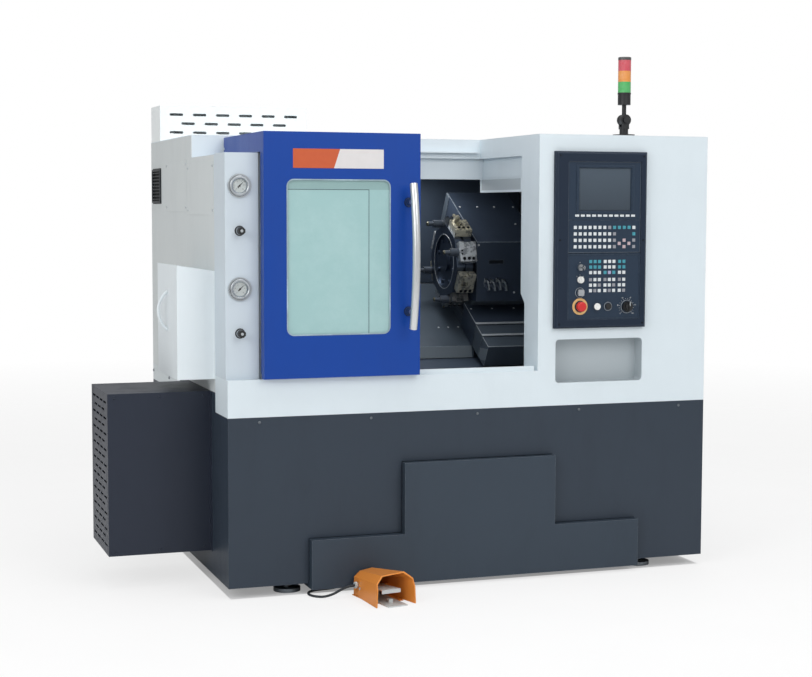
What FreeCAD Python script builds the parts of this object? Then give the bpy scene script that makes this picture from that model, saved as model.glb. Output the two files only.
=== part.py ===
"""Slant-bed turning lathe with a sliding guard door, a turret and a control panel.

Lengths are millimetres. While modelling, X runs right from the base's left side, Y runs back
from the front face and Z runs up from the lower edge of the base covers. The export moves
everything so that the origin lies on the floor, under the middle of the whole machine.
"""
import FreeCAD, Part
import math
import os
from FreeCAD import Vector

os.makedirs("parts", exist_ok=True)

# ---- overall machine ----------------------------------------------------------------------
BODY_LENGTH = 1919.0          # base and guard, left to right
BODY_DEPTH = 1440.0           # front face to rear face
BASE_HEIGHT = 618.0           # dark base covers
BELT_HEIGHT = 136.0           # pale belt of the front guard
TOP_HEIGHT = 1650.0           # roof of the guard
FLOOR_GAP = 40.0              # base covers stand this high on the levelling feet
SHEET = 3.0                   # folded sheet steel
FRONT_FOLD = 154.0            # depth of the folded returns of the front base cover
THIN_SHEET = 2.0              # light covers
GAP = 0.3                     # air between pieces that move on each other
RUNNING = 0.05                # radial clearance of a shaft in its bore
EPS = 0.01                    # face clearance of pieces that are bolted together

# ---- slanted ways and spindle -------------------------------------------------------------
SLANT_DEG = 30.0
AXIS_Y = 430.0                # spindle axis
AXIS_Z = 960.0
BED_TOP = -300.0              # top of the casting, measured square to the ways from the axis
BED_LOW = -150.0              # front end of the slanted top, along the ways
BED_HIGH = 600.0
BED_LEFT = 140.0
BED_RIGHT = BODY_LENGTH - 139.0
BED_FRONT = 380.0
BED_REAR = 1150.0
BED_WALL = 45.0
FRONT_FOOT_INSET = 240.0      # front levelling feet, in from the base's sides
BED_CELLS = 4
RAIL_WIDTH = 35.0
RAIL_HEIGHT = 30.0
RAIL_FRONT = 150.0            # rail centres along the slant
RAIL_REAR = 520.0
RAIL_START = 720.0
SCREW_RADIUS = 16.0
SCREW_SLANT = 335.0
SERVO_SIZE = 120.0

SPINDLE_RADIUS = 40.0
SPINDLE_BORE = 23.0
SPINDLE_START = 235.0
NOSE_RADIUS = 66.0
NOSE_LENGTH = 20.0
CHUCK_RADIUS = 84.5
CHUCK_LENGTH = 80.0
CHUCK_HOLE = 26.0
JAW_WIDTH = 26.0
JAW_STEP = 16.0
JAW_IN = 31.0
JAW_OUT = 78.0
JAW_STAND = 35.0              # jaws stand this far out of the chuck face
JAW_TAIL = 12.0               # part of a jaw that runs in the chuck's slot
PULLEY_RADIUS = 95.0
PULLEY_WIDTH = 75.0
PULLEY_START = 255.0
MOTOR_PULLEY_RADIUS = 60.0
BELT_THICK = 6.0
CYLINDER_RADIUS = 70.0
CYLINDER_LENGTH = 105.0
HEAD_LEFT = 345.0
HEAD_BEARING = 50.0
MOTOR_SLANT = 420.0
MOTOR_DROP = -160.0
MOTOR_RADIUS = 118.0
MOTOR_LENGTH = 330.0
SHAFT_RADIUS = 22.0

# ---- saddle, cross slide and turret -------------------------------------------------------
SADDLE_LOW = -30.0
SADDLE_HIGH = 590.0
SADDLE_BASE = -250.0
SADDLE_TOP = -200.0
CROSS_RAIL_TOP = -178.0
CROSS_RAIL_WIDTH = 25.0
CROSS_RAIL_INSET = 40.0
CROSS_LOW = 250.0
CROSS_HIGH = 570.0
CROSS_TOP = -120.0
COVER_LEFT = 1185.0
COVER_RIGHT = 1500.0
COVER_TOP = -139.0
COVER_STEP = 5.5              # each shorter section lies this much lower
COVER_NEST = THIN_SHEET + GAP  # and this much narrower at each side
COVER_WALL_END = -243.0
COVER_EDGES = (104.0, 27.0, -45.0)   # lower edges of the three sections
COVER_OVERLAP = 14.0
WAY_COVER = SADDLE_BASE - THIN_SHEET - EPS   # lower face of the sliding way covers
WAY_COVER_LAP = 9.0           # they reach this far under the saddle
WAY_COVER_LEFT_LENGTH = 256.0
WAY_COVER_RIGHT_LENGTH = 310.0
WAY_LIP_LOW = 110.0
WAY_LIP_HEIGHT = 48.0
TURRET_SLANT = 375.0          # turret axis along the slant, at the height of the spindle axis
TURRET_LEFT = 1104.0
TURRET_THICK = 72.0
TURRET_FLAT = 146.0           # axis to each flat of the disc
STATIONS = 8
SINK_RADIUS = 112.0           # sunk ring of the disc's face, round the clamping ring
SINK_DEPTH = 10.0
BOLT_CIRCLE = 92.0
HOLDER_LENGTH = 84.0          # across the flat
HOLDER_HEIGHT = 32.0
SHANK = 20.0                  # square tool shanks
HUB_RADIUS = 70.0
HOUSING_LEFT = 1200.0
HOUSING_RIGHT = 1480.0
HOUSING_TOP = 140.0
HOUSING_FRONT_Y = 622.0
HOUSING_FRONT_LOW = 985.0
HOUSING_FRONT_HIGH = 1229.0
HOUSING_SLANT_END = 713.0
NOZZLE_HEIGHT = 1052.0        # coolant nozzles on the housing's face
NOZZLE_PITCH = 26.0

# ---- guard --------------------------------------------------------------------------------
RIGHT_HOUSING_WIDTH = 715.0
RIGHT_FOLD = 60.0             # the front sheet's fold round the right corner
HATCH = (480.0, 1180.0, 760.0, 1500.0)       # seam of the right wall: front, rear, low, high
CHAMBER_LEFT = 700.0
CHAMBER_RIGHT = 1600.0
CHAMBER_REAR = 1115.0
CHUTE_BEND = 480.0            # the sheet under the work area rises behind this depth
FRONT_LEDGE = 130.0           # depth of the belt's top
FASCIA_Y = 600.0
FASCIA_RECESS = 20.0
FASCIA_BAND = 78.0            # upper band of the lintel
FASCIA_LOW = TOP_HEIGHT - 162.0     # lower edge of the lintel
LIP_DEPTH = 60.0              # the lintel's lower flange ends this far behind its face
SIDE_LIP_LOW = TOP_HEIGHT - 216.0
POST_DEPTH_LOW = 133.0
POST_DEPTH_HIGH = 170.0
POST_JOG_LOW = 1006.0
POST_JOG_HIGH = 1040.0
HEAD_ROOF = TOP_HEIGHT - 88.0       # fixed roof over the headstock
HEAD_FRONT = 50.0
HEAD_PANEL = (180.0, 552.0, 830.0, 1444.0)   # screwed panel: left, right, low, high
LEFT_SIDE_FRONT = 200.0       # where the left wall begins behind the belt's return
DARK_SIDE_TOP = BASE_HEIGHT + 72.0  # the dark cover of the left side reaches this high
# Inspection covers on the left wall: front, rear, low, high.
WALL_COVERS = [(LEFT_SIDE_FRONT, 676.0, 1342.0, HEAD_ROOF - 22), (680.0, 1106.0, 1353.0, HEAD_ROOF - 6)]
COLUMN_WIDTH = 122.0
COLUMN_FRONT = 27.0
COLUMN_TOP = TOP_HEIGHT - 85.0
LINER_TOP = TOP_HEIGHT - 90.0       # ceiling of the work area
POCKET = (1277.0, 1645.0, 704.5, 871.0)      # left, right, low, high
POCKET_DEPTH = 60.0
POCKET_CORNER = 16.0
PANEL = (1264.0, 1647.0, 914.0, 1586.0)
PANEL_PROUD = 25.0
PANEL_BEVEL = 8.0
UNIT = (1314.0, 1621.0, 1201.0, 1548.0)
UNIT_DEPTH = 70.0
SCREEN = (1361.0, 1579.0, 1362.0, 1523.0)
OPERATOR = (1314.0, 1621.0, 947.0, 1199.0)
OPERATOR_DEPTH = 6.0
KEY_RISE = 1.5

# ---- door ---------------------------------------------------------------------------------
DOOR_LEFT = 127.0
DOOR_WIDTH = 590.0
DOOR_PROUD = 30.0
DOOR_CLEAR = 3.0
DOOR_TOP = TOP_HEIGHT - 10.0
DOOR_RETURN = 45.0
SHOE_LENGTH = 60.0            # slide shoes
LOW_RAIL_FRONT = 8.0
LOW_RAIL_BACK = 14.0
HIGH_RAIL_PROUD = 20.0        # in front of the lintel
HIGH_RAIL_THICK = 6.0
DOOR_ROOF_BACK = 590.0
DOOR_SIDE_LOW = TOP_HEIGHT - 82.0
WINDOW = (213.0, 600.0, 913.0, 1470.0)
WINDOW_CORNER = 25.0
GLASS_THICK = 6.0
HANDLE_X = 672.0
HANDLE_LOW = 931.0
HANDLE_HIGH = 1457.0
HANDLE_RADIUS = 14.5
HANDLE_BOW = 38.0
HANDLE_STAND = 48.0
POST_LOW_Z = 992.0
POST_HIGH_Z = 1390.0

# ---- left side, gauges, boxes -------------------------------------------------------------
GAUGE_X = 53.0
GAUGE_HEIGHTS = {"upper": 1447.0, "lower": 1079.0}
VALVE_HEIGHTS = {"upper": 1287.0, "lower": 920.0}
GAUGE_RADIUS = 43.0
GAUGE_DIAL = 31.0
GAUGE_STAND = 9.0
NEEDLE_LENGTH = 22.0
VALVE_RADIUS = 13.5
VALVE_STEM = 5.0
END_COVER_WIDTH = 138.0       # spindle end cover on the left wall
END_COVER_FRONT = 210.0
END_COVER_BACK = 582.0
END_COVER_LOW = 740.0
END_COVER_HIGH = 1138.0
END_COVER_SLOPE = 20.0
BOW_LOW = 911.0               # bow handle of the spindle end cover
BOW_HIGH = 1057.0
BOW_STAND = 34.0
BOW_RADIUS = 5.5
SIDE_BOX_WIDTH = 383.0
SIDE_BOX_FRONT = 286.0
SIDE_BOX_BACK = 668.0
SIDE_BOX_LOW = 86.0
SIDE_BOX_HIGH = 688.0
SIDE_BOX_ROWS = 19
SIDE_SLOT = 62.0
SIDE_SLOT_HEIGHT = 8.0
VENT_LENGTH = 640.0
VENT_FRONT = BODY_DEPTH - 210.0
VENT_BACK = BODY_DEPTH - 10.0
VENT_HEIGHT = 150.0
VENT_SLOT = 58.0
VENT_SLOT_HEIGHT = 11.0
VENT_PITCH = 100.0
VENT_COUNT = 6
WALL_VENT = (BODY_DEPTH - 221.0, BODY_DEPTH - 38.0, 1390.0, 1531.0)
TANK_PROUD = 35.0
TANK_LEFT = 301.0
TANK_RIGHT = 1620.0
TANK_TOP = 165.0
TANK_LOW = -18.0
TANK_PANEL_LEFT = 659.0
TANK_PANEL_RIGHT = 1266.0
TANK_PANEL_TOP = 431.0
TANK_BACK = 330.0
CABINET = (BODY_LENGTH - 1014.0, BODY_LENGTH - 124.0, BASE_HEIGHT + 87.0, TOP_HEIGHT - 95.0)
CABINET_DEPTH = 145.0
MODULE_DEPTH = 88.0           # deepest switchgear on the cabinet's plate
CABINET_PAN = 20.0
CABINET_HINGE = (8.0, 5.0)    # hinge axis, in from the tub's right wall and from the rear face
CABINET_PIN = 2.5             # radius of the hinge pins
CABINET_PIN_LENGTH = 28.0

# ---- signal lamp and foot switch ----------------------------------------------------------
LAMP_X = 1620.0
LAMP_Y = 130.0
LAMP_RADIUS = 25.0
LAMP_PIVOT = 65.0             # above the roof
LAMP_BASE_LOW = 124.0
LAMP_BASE_HEIGHT = 47.0
LENS_HEIGHT = 42.0
LAMP_CAP = 12.0
FOOT_X = 544.0                # middle of the foot switch's open front
FOOT_Y = -273.0
FOOT_TURN_DEG = 9.7
FOOT_WIDTH = 152.0
FOOT_BACK_WIDTH = 104.0
FOOT_LENGTH = 228.0
FOOT_HEIGHT = 118.0
FOOT_BACK_HEIGHT = 92.0
FOOT_WALL = 4.0
TREADLE_WIDTH = 76.0
TREADLE_LENGTH = 130.0
TREADLE_HEIGHT = 52.0
FOOT_PLATE_WIDTH = 78.0
FOOT_PLATE_PROUD = 14.0       # base plate reaches this far out of the hood
CORD_RADIUS = 4.5
# Route of the free cord, from the foot switch's left side to the box under the bed.
CORD_ROUTE = [(455.0, -96.47, 4.0), (422.0, -102.11, 4.0), (392.0, -102.0, -7.0), (364.0, -93.0, -25.0),
              (331.0, -80.0, -35.4), (302.0, -58.0, -35.4), (290.0, -24.0, -35.4), (300.0, 12.0, -35.4),
              (328.0, 34.0, -35.4), (362.0, 40.0, -35.4), (398.0, 44.0, -35.4), (428.0, 60.0, -35.4),
              (446.0, 92.0, -35.4), (453.0, 134.0, -35.4), (457.0, 182.0, -35.0), (462.0, 232.0, -33.0),
              (466.0, 280.0, -31.5), (466.0, 324.0, -31.5)]

# ---- worked out from the above ------------------------------------------------------------
SLANT = math.radians(SLANT_DEG)
BELT_TOP = BASE_HEIGHT + BELT_HEIGHT
LOW_RAIL_TOP = BELT_TOP + 18.0
HIGH_RAIL_LOW = TOP_HEIGHT - FASCIA_BAND + 22.0
HOUSING_X = BODY_LENGTH - RIGHT_HOUSING_WIDTH
DOOR_LOW = BELT_TOP + DOOR_CLEAR
DOOR_RIGHT = DOOR_LEFT + DOOR_WIDTH
FOOT_TURN = math.radians(FOOT_TURN_DEG)
FOOT_FRONT = FOOT_Y - FOOT_PLATE_WIDTH / 2 * math.sin(FOOT_TURN) - FOOT_PLATE_PROUD * math.cos(FOOT_TURN)
CENTRE_X = (BODY_LENGTH - SIDE_BOX_WIDTH) / 2
CENTRE_Y = (BODY_DEPTH + FOOT_FRONT) / 2
SADDLE_LEFT = COVER_LEFT + 2 * COVER_NEST + THIN_SHEET + EPS
SADDLE_WIDTH = COVER_LEFT + COVER_RIGHT - 2 * SADDLE_LEFT
NOSE_X = CHAMBER_LEFT + 35.0
CHUCK_FACE = NOSE_X + CHUCK_LENGTH


# ---- small helpers ------------------------------------------------------------------------
def box(x0, x1, y0, y1, z0, z1):
    return Part.makeBox(x1 - x0, y1 - y0, z1 - z0, Vector(x0, y0, z0))


def rod(radius, start, end):
    """Round bar between two points."""
    way = Vector(*end) - Vector(*start)
    return Part.makeCylinder(radius, way.Length, Vector(*start), way)


def rod_x(radius, x0, x1, y=AXIS_Y, z=AXIS_Z):
    return rod(radius, (x0, y, z), (x1, y, z))


def rod_y(radius, x, z, y0, y1):
    return rod(radius, (x, y0, z), (x, y1, z))


def rod_z(radius, x, y, z0, z1):
    return rod(radius, (x, y, z0), (x, y, z1))


def prism_x(outline, x0, x1):
    """Closed outline of (Y, Z) points, drawn out along X."""
    points = [Vector(x0, y, z) for y, z in outline]
    return Part.Face(Part.makePolygon(points + points[:1])).extrude(Vector(x1 - x0, 0, 0))


def prism_y(outline, y0, y1):
    """Closed outline of (X, Z) points, drawn out along Y."""
    points = [Vector(x, y0, z) for x, z in outline]
    return Part.Face(Part.makePolygon(points + points[:1])).extrude(Vector(0, y1 - y0, 0))


def prism_z(outline, z0, z1):
    points = [Vector(x, y, z0) for x, y in outline]
    return Part.Face(Part.makePolygon(points + points[:1])).extrude(Vector(0, 0, z1 - z0))


def slant(s, n):
    """(Y, Z) of a point s up the ways and n square to them, counted from the spindle axis."""
    return (AXIS_Y + s * math.cos(SLANT) - n * math.sin(SLANT),
            AXIS_Z + s * math.sin(SLANT) + n * math.cos(SLANT))


def slant_box(x0, x1, s0, s1, n0, n1):
    return prism_x([slant(s0, n0), slant(s1, n0), slant(s1, n1), slant(s0, n1)], x0, x1)


def rounded_y(x0, x1, z0, z1, y0, y1, corner):
    """Block with its four edges along Y rounded."""
    block = box(x0, x1, y0, y1, z0, z1)
    edges = [e for e in block.Edges if abs(e.tangentAt(e.FirstParameter).y) > 0.9]
    return block.makeFillet(corner, edges)


def join(pieces):
    body = pieces[0]
    if len(pieces) > 1:
        body = body.fuse(pieces[1:])
    return body.removeSplitter()


def pan_y(x0, x1, z0, z1, y_face, y_open, wall):
    """Tray with its face at y_face and its open side at y_open."""
    inner_face = y_face + math.copysign(wall, y_open - y_face)
    outer = box(x0, x1, min(y_face, y_open), max(y_face, y_open), z0, z1)
    inner = box(x0 + wall, x1 - wall, min(inner_face, y_open), max(inner_face, y_open),
                z0 + wall, z1 - wall)
    return outer.cut(inner)


def save(node, *solids):
    """Write one node, moved to the frame of the whole machine."""
    loose = []
    for shape in solids:
        loose.extend(shape.Solids)
    shape = loose[0].copy() if len(loose) == 1 else Part.makeCompound(loose)
    shape.translate(Vector(-CENTRE_X, -CENTRE_Y, FLOOR_GAP))
    shape.exportStep("parts/" + node + ".step")


# ---- bed, feet and base covers ------------------------------------------------------------
def cord_box():
    """Small junction box under the bed with the cord's gland pointing forward."""
    x, y, z = CORD_ROUTE[-1]
    body = box(x - 30, x + 30, BED_FRONT + 2, BED_FRONT + 62, z - 8, 1)
    neck = rod_y(CORD_RADIUS + 3.5, x, z, y - 16, BED_FRONT + 3)
    return join([body, neck]).cut(rod_y(CORD_RADIUS + EPS, x, z, y - 30, y + EPS))


def bed_casting():
    """Cast bed with a slanted top, ribbed and open below, with its rails and feed screw."""
    low = slant(BED_LOW, BED_TOP)
    high = slant(BED_HIGH, BED_TOP)
    outline = [(BED_FRONT, 0), (BED_FRONT, low[1] / 2), low, high, (BED_REAR, high[1]), (BED_REAR, 0)]
    bed = prism_x(outline, BED_LEFT, BED_RIGHT)
    core_low = slant(BED_LOW + 2 * BED_WALL, BED_TOP - BED_WALL)
    core_high = slant(BED_HIGH - 2 * BED_WALL, BED_TOP - BED_WALL)
    core = [(BED_FRONT + BED_WALL, -1), (BED_FRONT + BED_WALL, low[1] / 2), core_low, core_high,
            (BED_REAR - BED_WALL, core_high[1]), (BED_REAR - BED_WALL, -1)]
    pitch = (BED_RIGHT - BED_LEFT - BED_WALL) / BED_CELLS
    for cell in range(BED_CELLS):
        start = BED_LEFT + BED_WALL + cell * pitch
        bed = bed.cut(prism_x(core, start, start + pitch - BED_WALL))
    channel = slant_box(RAIL_START, BED_RIGHT + 1, RAIL_FRONT + 90, RAIL_REAR - 80,
                        BED_TOP - 0.75 * BED_WALL, BED_TOP + 1)
    rails = [slant_box(RAIL_START, BED_RIGHT, s - RAIL_WIDTH / 2, s + RAIL_WIDTH / 2,
                       BED_TOP - 1, BED_TOP + RAIL_HEIGHT) for s in (RAIL_FRONT, RAIL_REAR)]
    y, z = slant(SCREW_SLANT, BED_TOP)
    screw = rod_x(SCREW_RADIUS, RAIL_START, BED_RIGHT, y, z)
    blocks = [slant_box(x, x + BED_WALL, SCREW_SLANT - 60, SCREW_SLANT + 60, BED_TOP - BED_WALL, BED_TOP + 30)
              for x in (RAIL_START, BED_RIGHT - BED_WALL)]
    return join([bed.cut(channel)] + rails + [screw] + blocks + [cord_box()])


def levelling_feet():
    """Round pads with screws under the bed, and the front pair under the base."""
    feet = []
    for x in (BED_LEFT + 90, (BED_LEFT + BED_RIGHT) / 2, BED_RIGHT - 90):
        for y in (BED_FRONT + 22, BED_REAR - 22):
            pad = rod_z(45, x, y, -FLOOR_GAP, -FLOOR_GAP + 14)
            stem = rod_z(12, x, y, -FLOOR_GAP + 10, -EPS)
            feet.append(join([pad, stem]))
    for x in (FRONT_FOOT_INSET, BODY_LENGTH - FRONT_FOOT_INSET):
        pad = rod_z(50, x, 90, -FLOOR_GAP, -FLOOR_GAP + 14)
        stem = rod_z(12, x, 90, -FLOOR_GAP + 10, -EPS)
        feet.append(join([pad, stem]))
    return feet


def front_base_cover():
    """Front sheet of the base, with folded returns and a cut-out for the coolant tank."""
    shell = box(0, BODY_LENGTH, 0, FRONT_FOLD, 0, BASE_HEIGHT - EPS)
    shell = shell.cut(box(SHEET, BODY_LENGTH - SHEET, SHEET, FRONT_FOLD + 1, SHEET, BASE_HEIGHT - SHEET))
    tank = box(TANK_LEFT - 2, TANK_RIGHT + 2, -1, FRONT_FOLD + 1, -1, TANK_TOP + 2)
    panel = box(TANK_PANEL_LEFT - 2, TANK_PANEL_RIGHT + 2, -1, 20, -1, TANK_PANEL_TOP + 2)
    return shell.cut([tank, panel])


def side_base_covers():
    """Left, right and rear sheets of the base."""
    front = FRONT_FOLD + EPS
    top = BASE_HEIGHT - EPS
    left = box(0, SHEET, front, BODY_DEPTH, 0, DARK_SIDE_TOP - EPS)
    notch = box(-1, SHEET + 1, front - 1, LEFT_SIDE_FRONT, top, DARK_SIDE_TOP)
    hose_hole = box(-1, SHEET + 1, SIDE_BOX_FRONT + 40, SIDE_BOX_BACK - 40, SIDE_BOX_LOW + 40, BASE_HEIGHT - 20)
    right = box(BODY_LENGTH - SHEET, BODY_LENGTH, front, BODY_DEPTH, 0, top)
    rear = box(SHEET + EPS, BODY_LENGTH - SHEET - EPS, BODY_DEPTH - SHEET, BODY_DEPTH, 0, top)
    return [left.cut([notch, hose_hole]), right, rear]


def side_box():
    """Box for the hydraulic unit, slotted on its outer side and open towards the base."""
    wall = SHEET
    shell = box(-SIDE_BOX_WIDTH, -EPS, SIDE_BOX_FRONT, SIDE_BOX_BACK, SIDE_BOX_LOW, SIDE_BOX_HIGH)
    shell = shell.cut(box(-SIDE_BOX_WIDTH + wall, 1, SIDE_BOX_FRONT + wall, SIDE_BOX_BACK - wall,
                          SIDE_BOX_LOW + wall, SIDE_BOX_HIGH - wall))
    slots = []
    pitch = (SIDE_BOX_HIGH - SIDE_BOX_LOW - 70) / (SIDE_BOX_ROWS - 1)
    middle = (SIDE_BOX_FRONT + SIDE_BOX_BACK) / 2
    for row in range(SIDE_BOX_ROWS):
        count = 4 if row % 2 == 0 else 3
        z = SIDE_BOX_LOW + 35 + row * pitch
        for k in range(count):
            y = middle + (k - (count - 1) / 2) * (SIDE_SLOT + 22)
            slots.append(box(-SIDE_BOX_WIDTH - 1, -SIDE_BOX_WIDTH + wall + 1, y - SIDE_SLOT / 2,
                             y + SIDE_SLOT / 2, z - SIDE_SLOT_HEIGHT / 2, z + SIDE_SLOT_HEIGHT / 2))
    flange = box(-SHEET, -EPS, SIDE_BOX_FRONT - 25, SIDE_BOX_BACK + 25, SIDE_BOX_LOW, SIDE_BOX_HIGH)
    flange = flange.cut(box(-5, 1, SIDE_BOX_FRONT + wall, SIDE_BOX_BACK - wall, SIDE_BOX_LOW + wall,
                            SIDE_BOX_HIGH - wall))
    return join([shell.cut(slots), flange])


def hydraulic_unit():
    """Oil tank with a motor, pump and valve block, standing in the side box."""
    floor = SIDE_BOX_LOW + SHEET + EPS
    front = SIDE_BOX_FRONT + 40
    back = SIDE_BOX_BACK - 40
    tank = box(-350, -60, front, back, floor, floor + 190)
    motor = rod_z(75, -230, (front + back) / 2, floor + 189, floor + 440)
    fins = rod_z(82, -230, (front + back) / 2, floor + 230, floor + 400)
    valves = box(-130, -75, front + 60, back - 60, floor + 189, floor + 330)
    filler = rod_z(20, -100, front + 30, floor + 189, floor + 220)
    return join([tank, motor, fins, valves, filler])


def coolant_tank():
    """Open tray with a raised front panel, a rear pump and skids."""
    tray = box(TANK_LEFT, TANK_RIGHT, -TANK_PROUD, TANK_BACK, TANK_LOW, TANK_TOP)
    tray = tray.cut(box(TANK_LEFT + SHEET, TANK_RIGHT - SHEET, -TANK_PROUD + SHEET, TANK_BACK - SHEET,
                        TANK_LOW + SHEET, TANK_TOP + 1))
    x0 = TANK_PANEL_LEFT
    x1 = TANK_PANEL_RIGHT
    panel = box(x0, x1, -TANK_PROUD, -TANK_PROUD + SHEET, TANK_TOP - 1, TANK_PANEL_TOP)
    top = box(x0, x1, -TANK_PROUD, -1, TANK_PANEL_TOP - SHEET, TANK_PANEL_TOP)
    sides = [box(x, x + SHEET, -TANK_PROUD, -1, TANK_TOP - 1, TANK_PANEL_TOP) for x in (x0, x1 - SHEET)]
    flange = box(TANK_LEFT, TANK_RIGHT, -TANK_PROUD, 20, TANK_TOP - SHEET, TANK_TOP)
    skids = [box(x, x + 60, TANK_BACK - 90, TANK_BACK - 30, -FLOOR_GAP, TANK_LOW + 1)
             for x in (TANK_LEFT + 60, TANK_RIGHT - 120)]
    x = TANK_RIGHT - 160
    y = TANK_BACK - 80
    bridge = box(x - 100, x + 100, y - 80, TANK_BACK, TANK_TOP - 1, TANK_TOP + SHEET)
    pump = rod_z(55, x, y, TANK_TOP, TANK_TOP + 170)
    inlet = rod_z(40, x, y, TANK_LOW + 30, TANK_TOP)
    return join([tray, flange, panel, top] + sides + skids + [bridge, pump, inlet])


save("bed_casting", bed_casting())
save("levelling_feet", *levelling_feet())
save("base_covers", front_base_cover(), *side_base_covers())
save("side_box", side_box())
save("hydraulic_unit", hydraulic_unit())
save("coolant_tank", coolant_tank())


# ---- guard sheets -------------------------------------------------------------------------
def front_guard():
    """Pale front sheet: the belt, its ledge, and the face and open side of the right housing."""
    w = SHEET
    face = box(0, BODY_LENGTH, 0, w, BASE_HEIGHT, BELT_TOP)
    face = face.fuse(box(HOUSING_X, BODY_LENGTH, 0, w, BASE_HEIGHT, TOP_HEIGHT - EPS - w))
    left_return = box(0, w, 0, LEFT_SIDE_FRONT - EPS, BASE_HEIGHT, BELT_TOP)
    right_return = box(BODY_LENGTH - w, BODY_LENGTH, 0, RIGHT_FOLD, BASE_HEIGHT, TOP_HEIGHT - EPS - w)
    ledge = box(0, HOUSING_X + w, 0, FRONT_LEDGE, BELT_TOP - w, BELT_TOP)
    drip = box(0, HOUSING_X + w, FRONT_LEDGE - w, FRONT_LEDGE, BELT_TOP - 40, BELT_TOP)
    bottom = box(0, BODY_LENGTH, 0, 40, BASE_HEIGHT, BASE_HEIGHT + w)
    side = prism_x([(0, BASE_HEIGHT), (POST_DEPTH_LOW, BASE_HEIGHT), (POST_DEPTH_LOW, POST_JOG_LOW),
                    (POST_DEPTH_HIGH, POST_JOG_HIGH), (POST_DEPTH_HIGH, FASCIA_LOW), (FASCIA_Y, FASCIA_LOW),
                    (FASCIA_Y, TOP_HEIGHT - w - EPS), (0, TOP_HEIGHT - w - EPS)], HOUSING_X, HOUSING_X + w)
    band = TOP_HEIGHT - FASCIA_BAND
    sunk = box(HOUSING_X - 1, HOUSING_X + w + 1, POST_DEPTH_HIGH, FASCIA_Y + 1, FASCIA_LOW - 1, band)
    recess = box(HOUSING_X + FASCIA_RECESS, HOUSING_X + FASCIA_RECESS + w, POST_DEPTH_HIGH - w, FASCIA_Y,
                 SIDE_LIP_LOW, band + w)
    step = box(HOUSING_X, HOUSING_X + FASCIA_RECESS + w, POST_DEPTH_HIGH, FASCIA_Y, band, band + w)
    sunk_face = HOUSING_X + FASCIA_RECESS + w
    post_back = box(HOUSING_X, sunk_face, POST_DEPTH_HIGH - w, POST_DEPTH_HIGH, POST_JOG_HIGH, band + w)
    gutter = box(HOUSING_X, sunk_face, POST_DEPTH_HIGH - w, FASCIA_Y, SIDE_LIP_LOW, FASCIA_LOW)
    gutter = gutter.cut(box(HOUSING_X + w, HOUSING_X + FASCIA_RECESS, POST_DEPTH_HIGH, FASCIA_Y + 1,
                            SIDE_LIP_LOW + w, FASCIA_LOW + 1))
    x0, x1, z0, z1 = POCKET
    tub = rounded_y(x0 - w, x1 + w, z0 - w, z1 + w, 0, POCKET_DEPTH + w, POCKET_CORNER + w)
    hollow = rounded_y(x0, x1, z0, z1, -1, POCKET_DEPTH, POCKET_CORNER)
    x0, x1, z0, z1 = PANEL
    panel_hole = box(x0 + 20, x1 - 20, -1, w + 1, z0 + 20, z1 - 20)
    sheet = join([face, left_return, right_return, ledge, drip, bottom, side.cut(sunk), recess, step,
                  post_back, gutter, tub])
    rail = box(DOOR_LEFT + 8, HOUSING_X - 12, LOW_RAIL_FRONT, LOW_RAIL_BACK, BELT_TOP - 1, LOW_RAIL_TOP)
    return join([sheet.cut([hollow, panel_hole]), rail])


def guard_right():
    """Right wall of the guard, above the base, with the seam of its service hatch."""
    top = TOP_HEIGHT - SHEET - EPS
    wall = box(BODY_LENGTH - SHEET, BODY_LENGTH, RIGHT_FOLD + EPS, BODY_DEPTH, BASE_HEIGHT, top)
    flange = box(BODY_LENGTH - 30, BODY_LENGTH - SHEET, BODY_DEPTH - 40, BODY_DEPTH - 37, BASE_HEIGHT, top)
    y0, y1, z0, z1 = HATCH
    seam = box(BODY_LENGTH - 1, BODY_LENGTH + 1, y0, y1, z0, z1)
    seam = seam.cut(box(BODY_LENGTH - 2, BODY_LENGTH + 2, y0 + SHEET, y1 - SHEET, z0 + SHEET, z1 - SHEET))
    return join([wall, flange]).cut(seam)


def guard_left():
    """Left wall with two screwed inspection covers and the cooling vent's frame."""
    front = LEFT_SIDE_FRONT
    outline = [(front, DARK_SIDE_TOP), (front, HEAD_ROOF), (FASCIA_Y, HEAD_ROOF),
               (FASCIA_Y, TOP_HEIGHT - SHEET - EPS), (BODY_DEPTH, TOP_HEIGHT - SHEET - EPS),
               (BODY_DEPTH, DARK_SIDE_TOP)]
    wall = prism_x(outline, 0, SHEET)
    y0, y1, z0, z1 = WALL_VENT
    hole = box(-1, SHEET + 1, y0 + 8, y1 - 8, z0 + 8, z1 - 8)
    frame = box(-6, 0.5, y0, y1, z0, z1).cut(box(-7, 1, y0 + 8, y1 - 8, z0 + 8, z1 - 8))
    blades = []
    count = 9
    for k in range(count):
        z = z0 + 8 + (k + 0.5) * (z1 - z0 - 16) / count
        blades.append(box(-4, SHEET, y0 + 7, y1 - 7, z - 2, z + 2))
    covers = [box(-1.5, 0.5, y0, y1, z0, z1) for y0, y1, z0, z1 in WALL_COVERS]
    shaft_hole = rod_x(60, -1, SHEET + 1)
    return join([wall.cut([hole, shaft_hole]), frame] + blades + covers)


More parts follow.
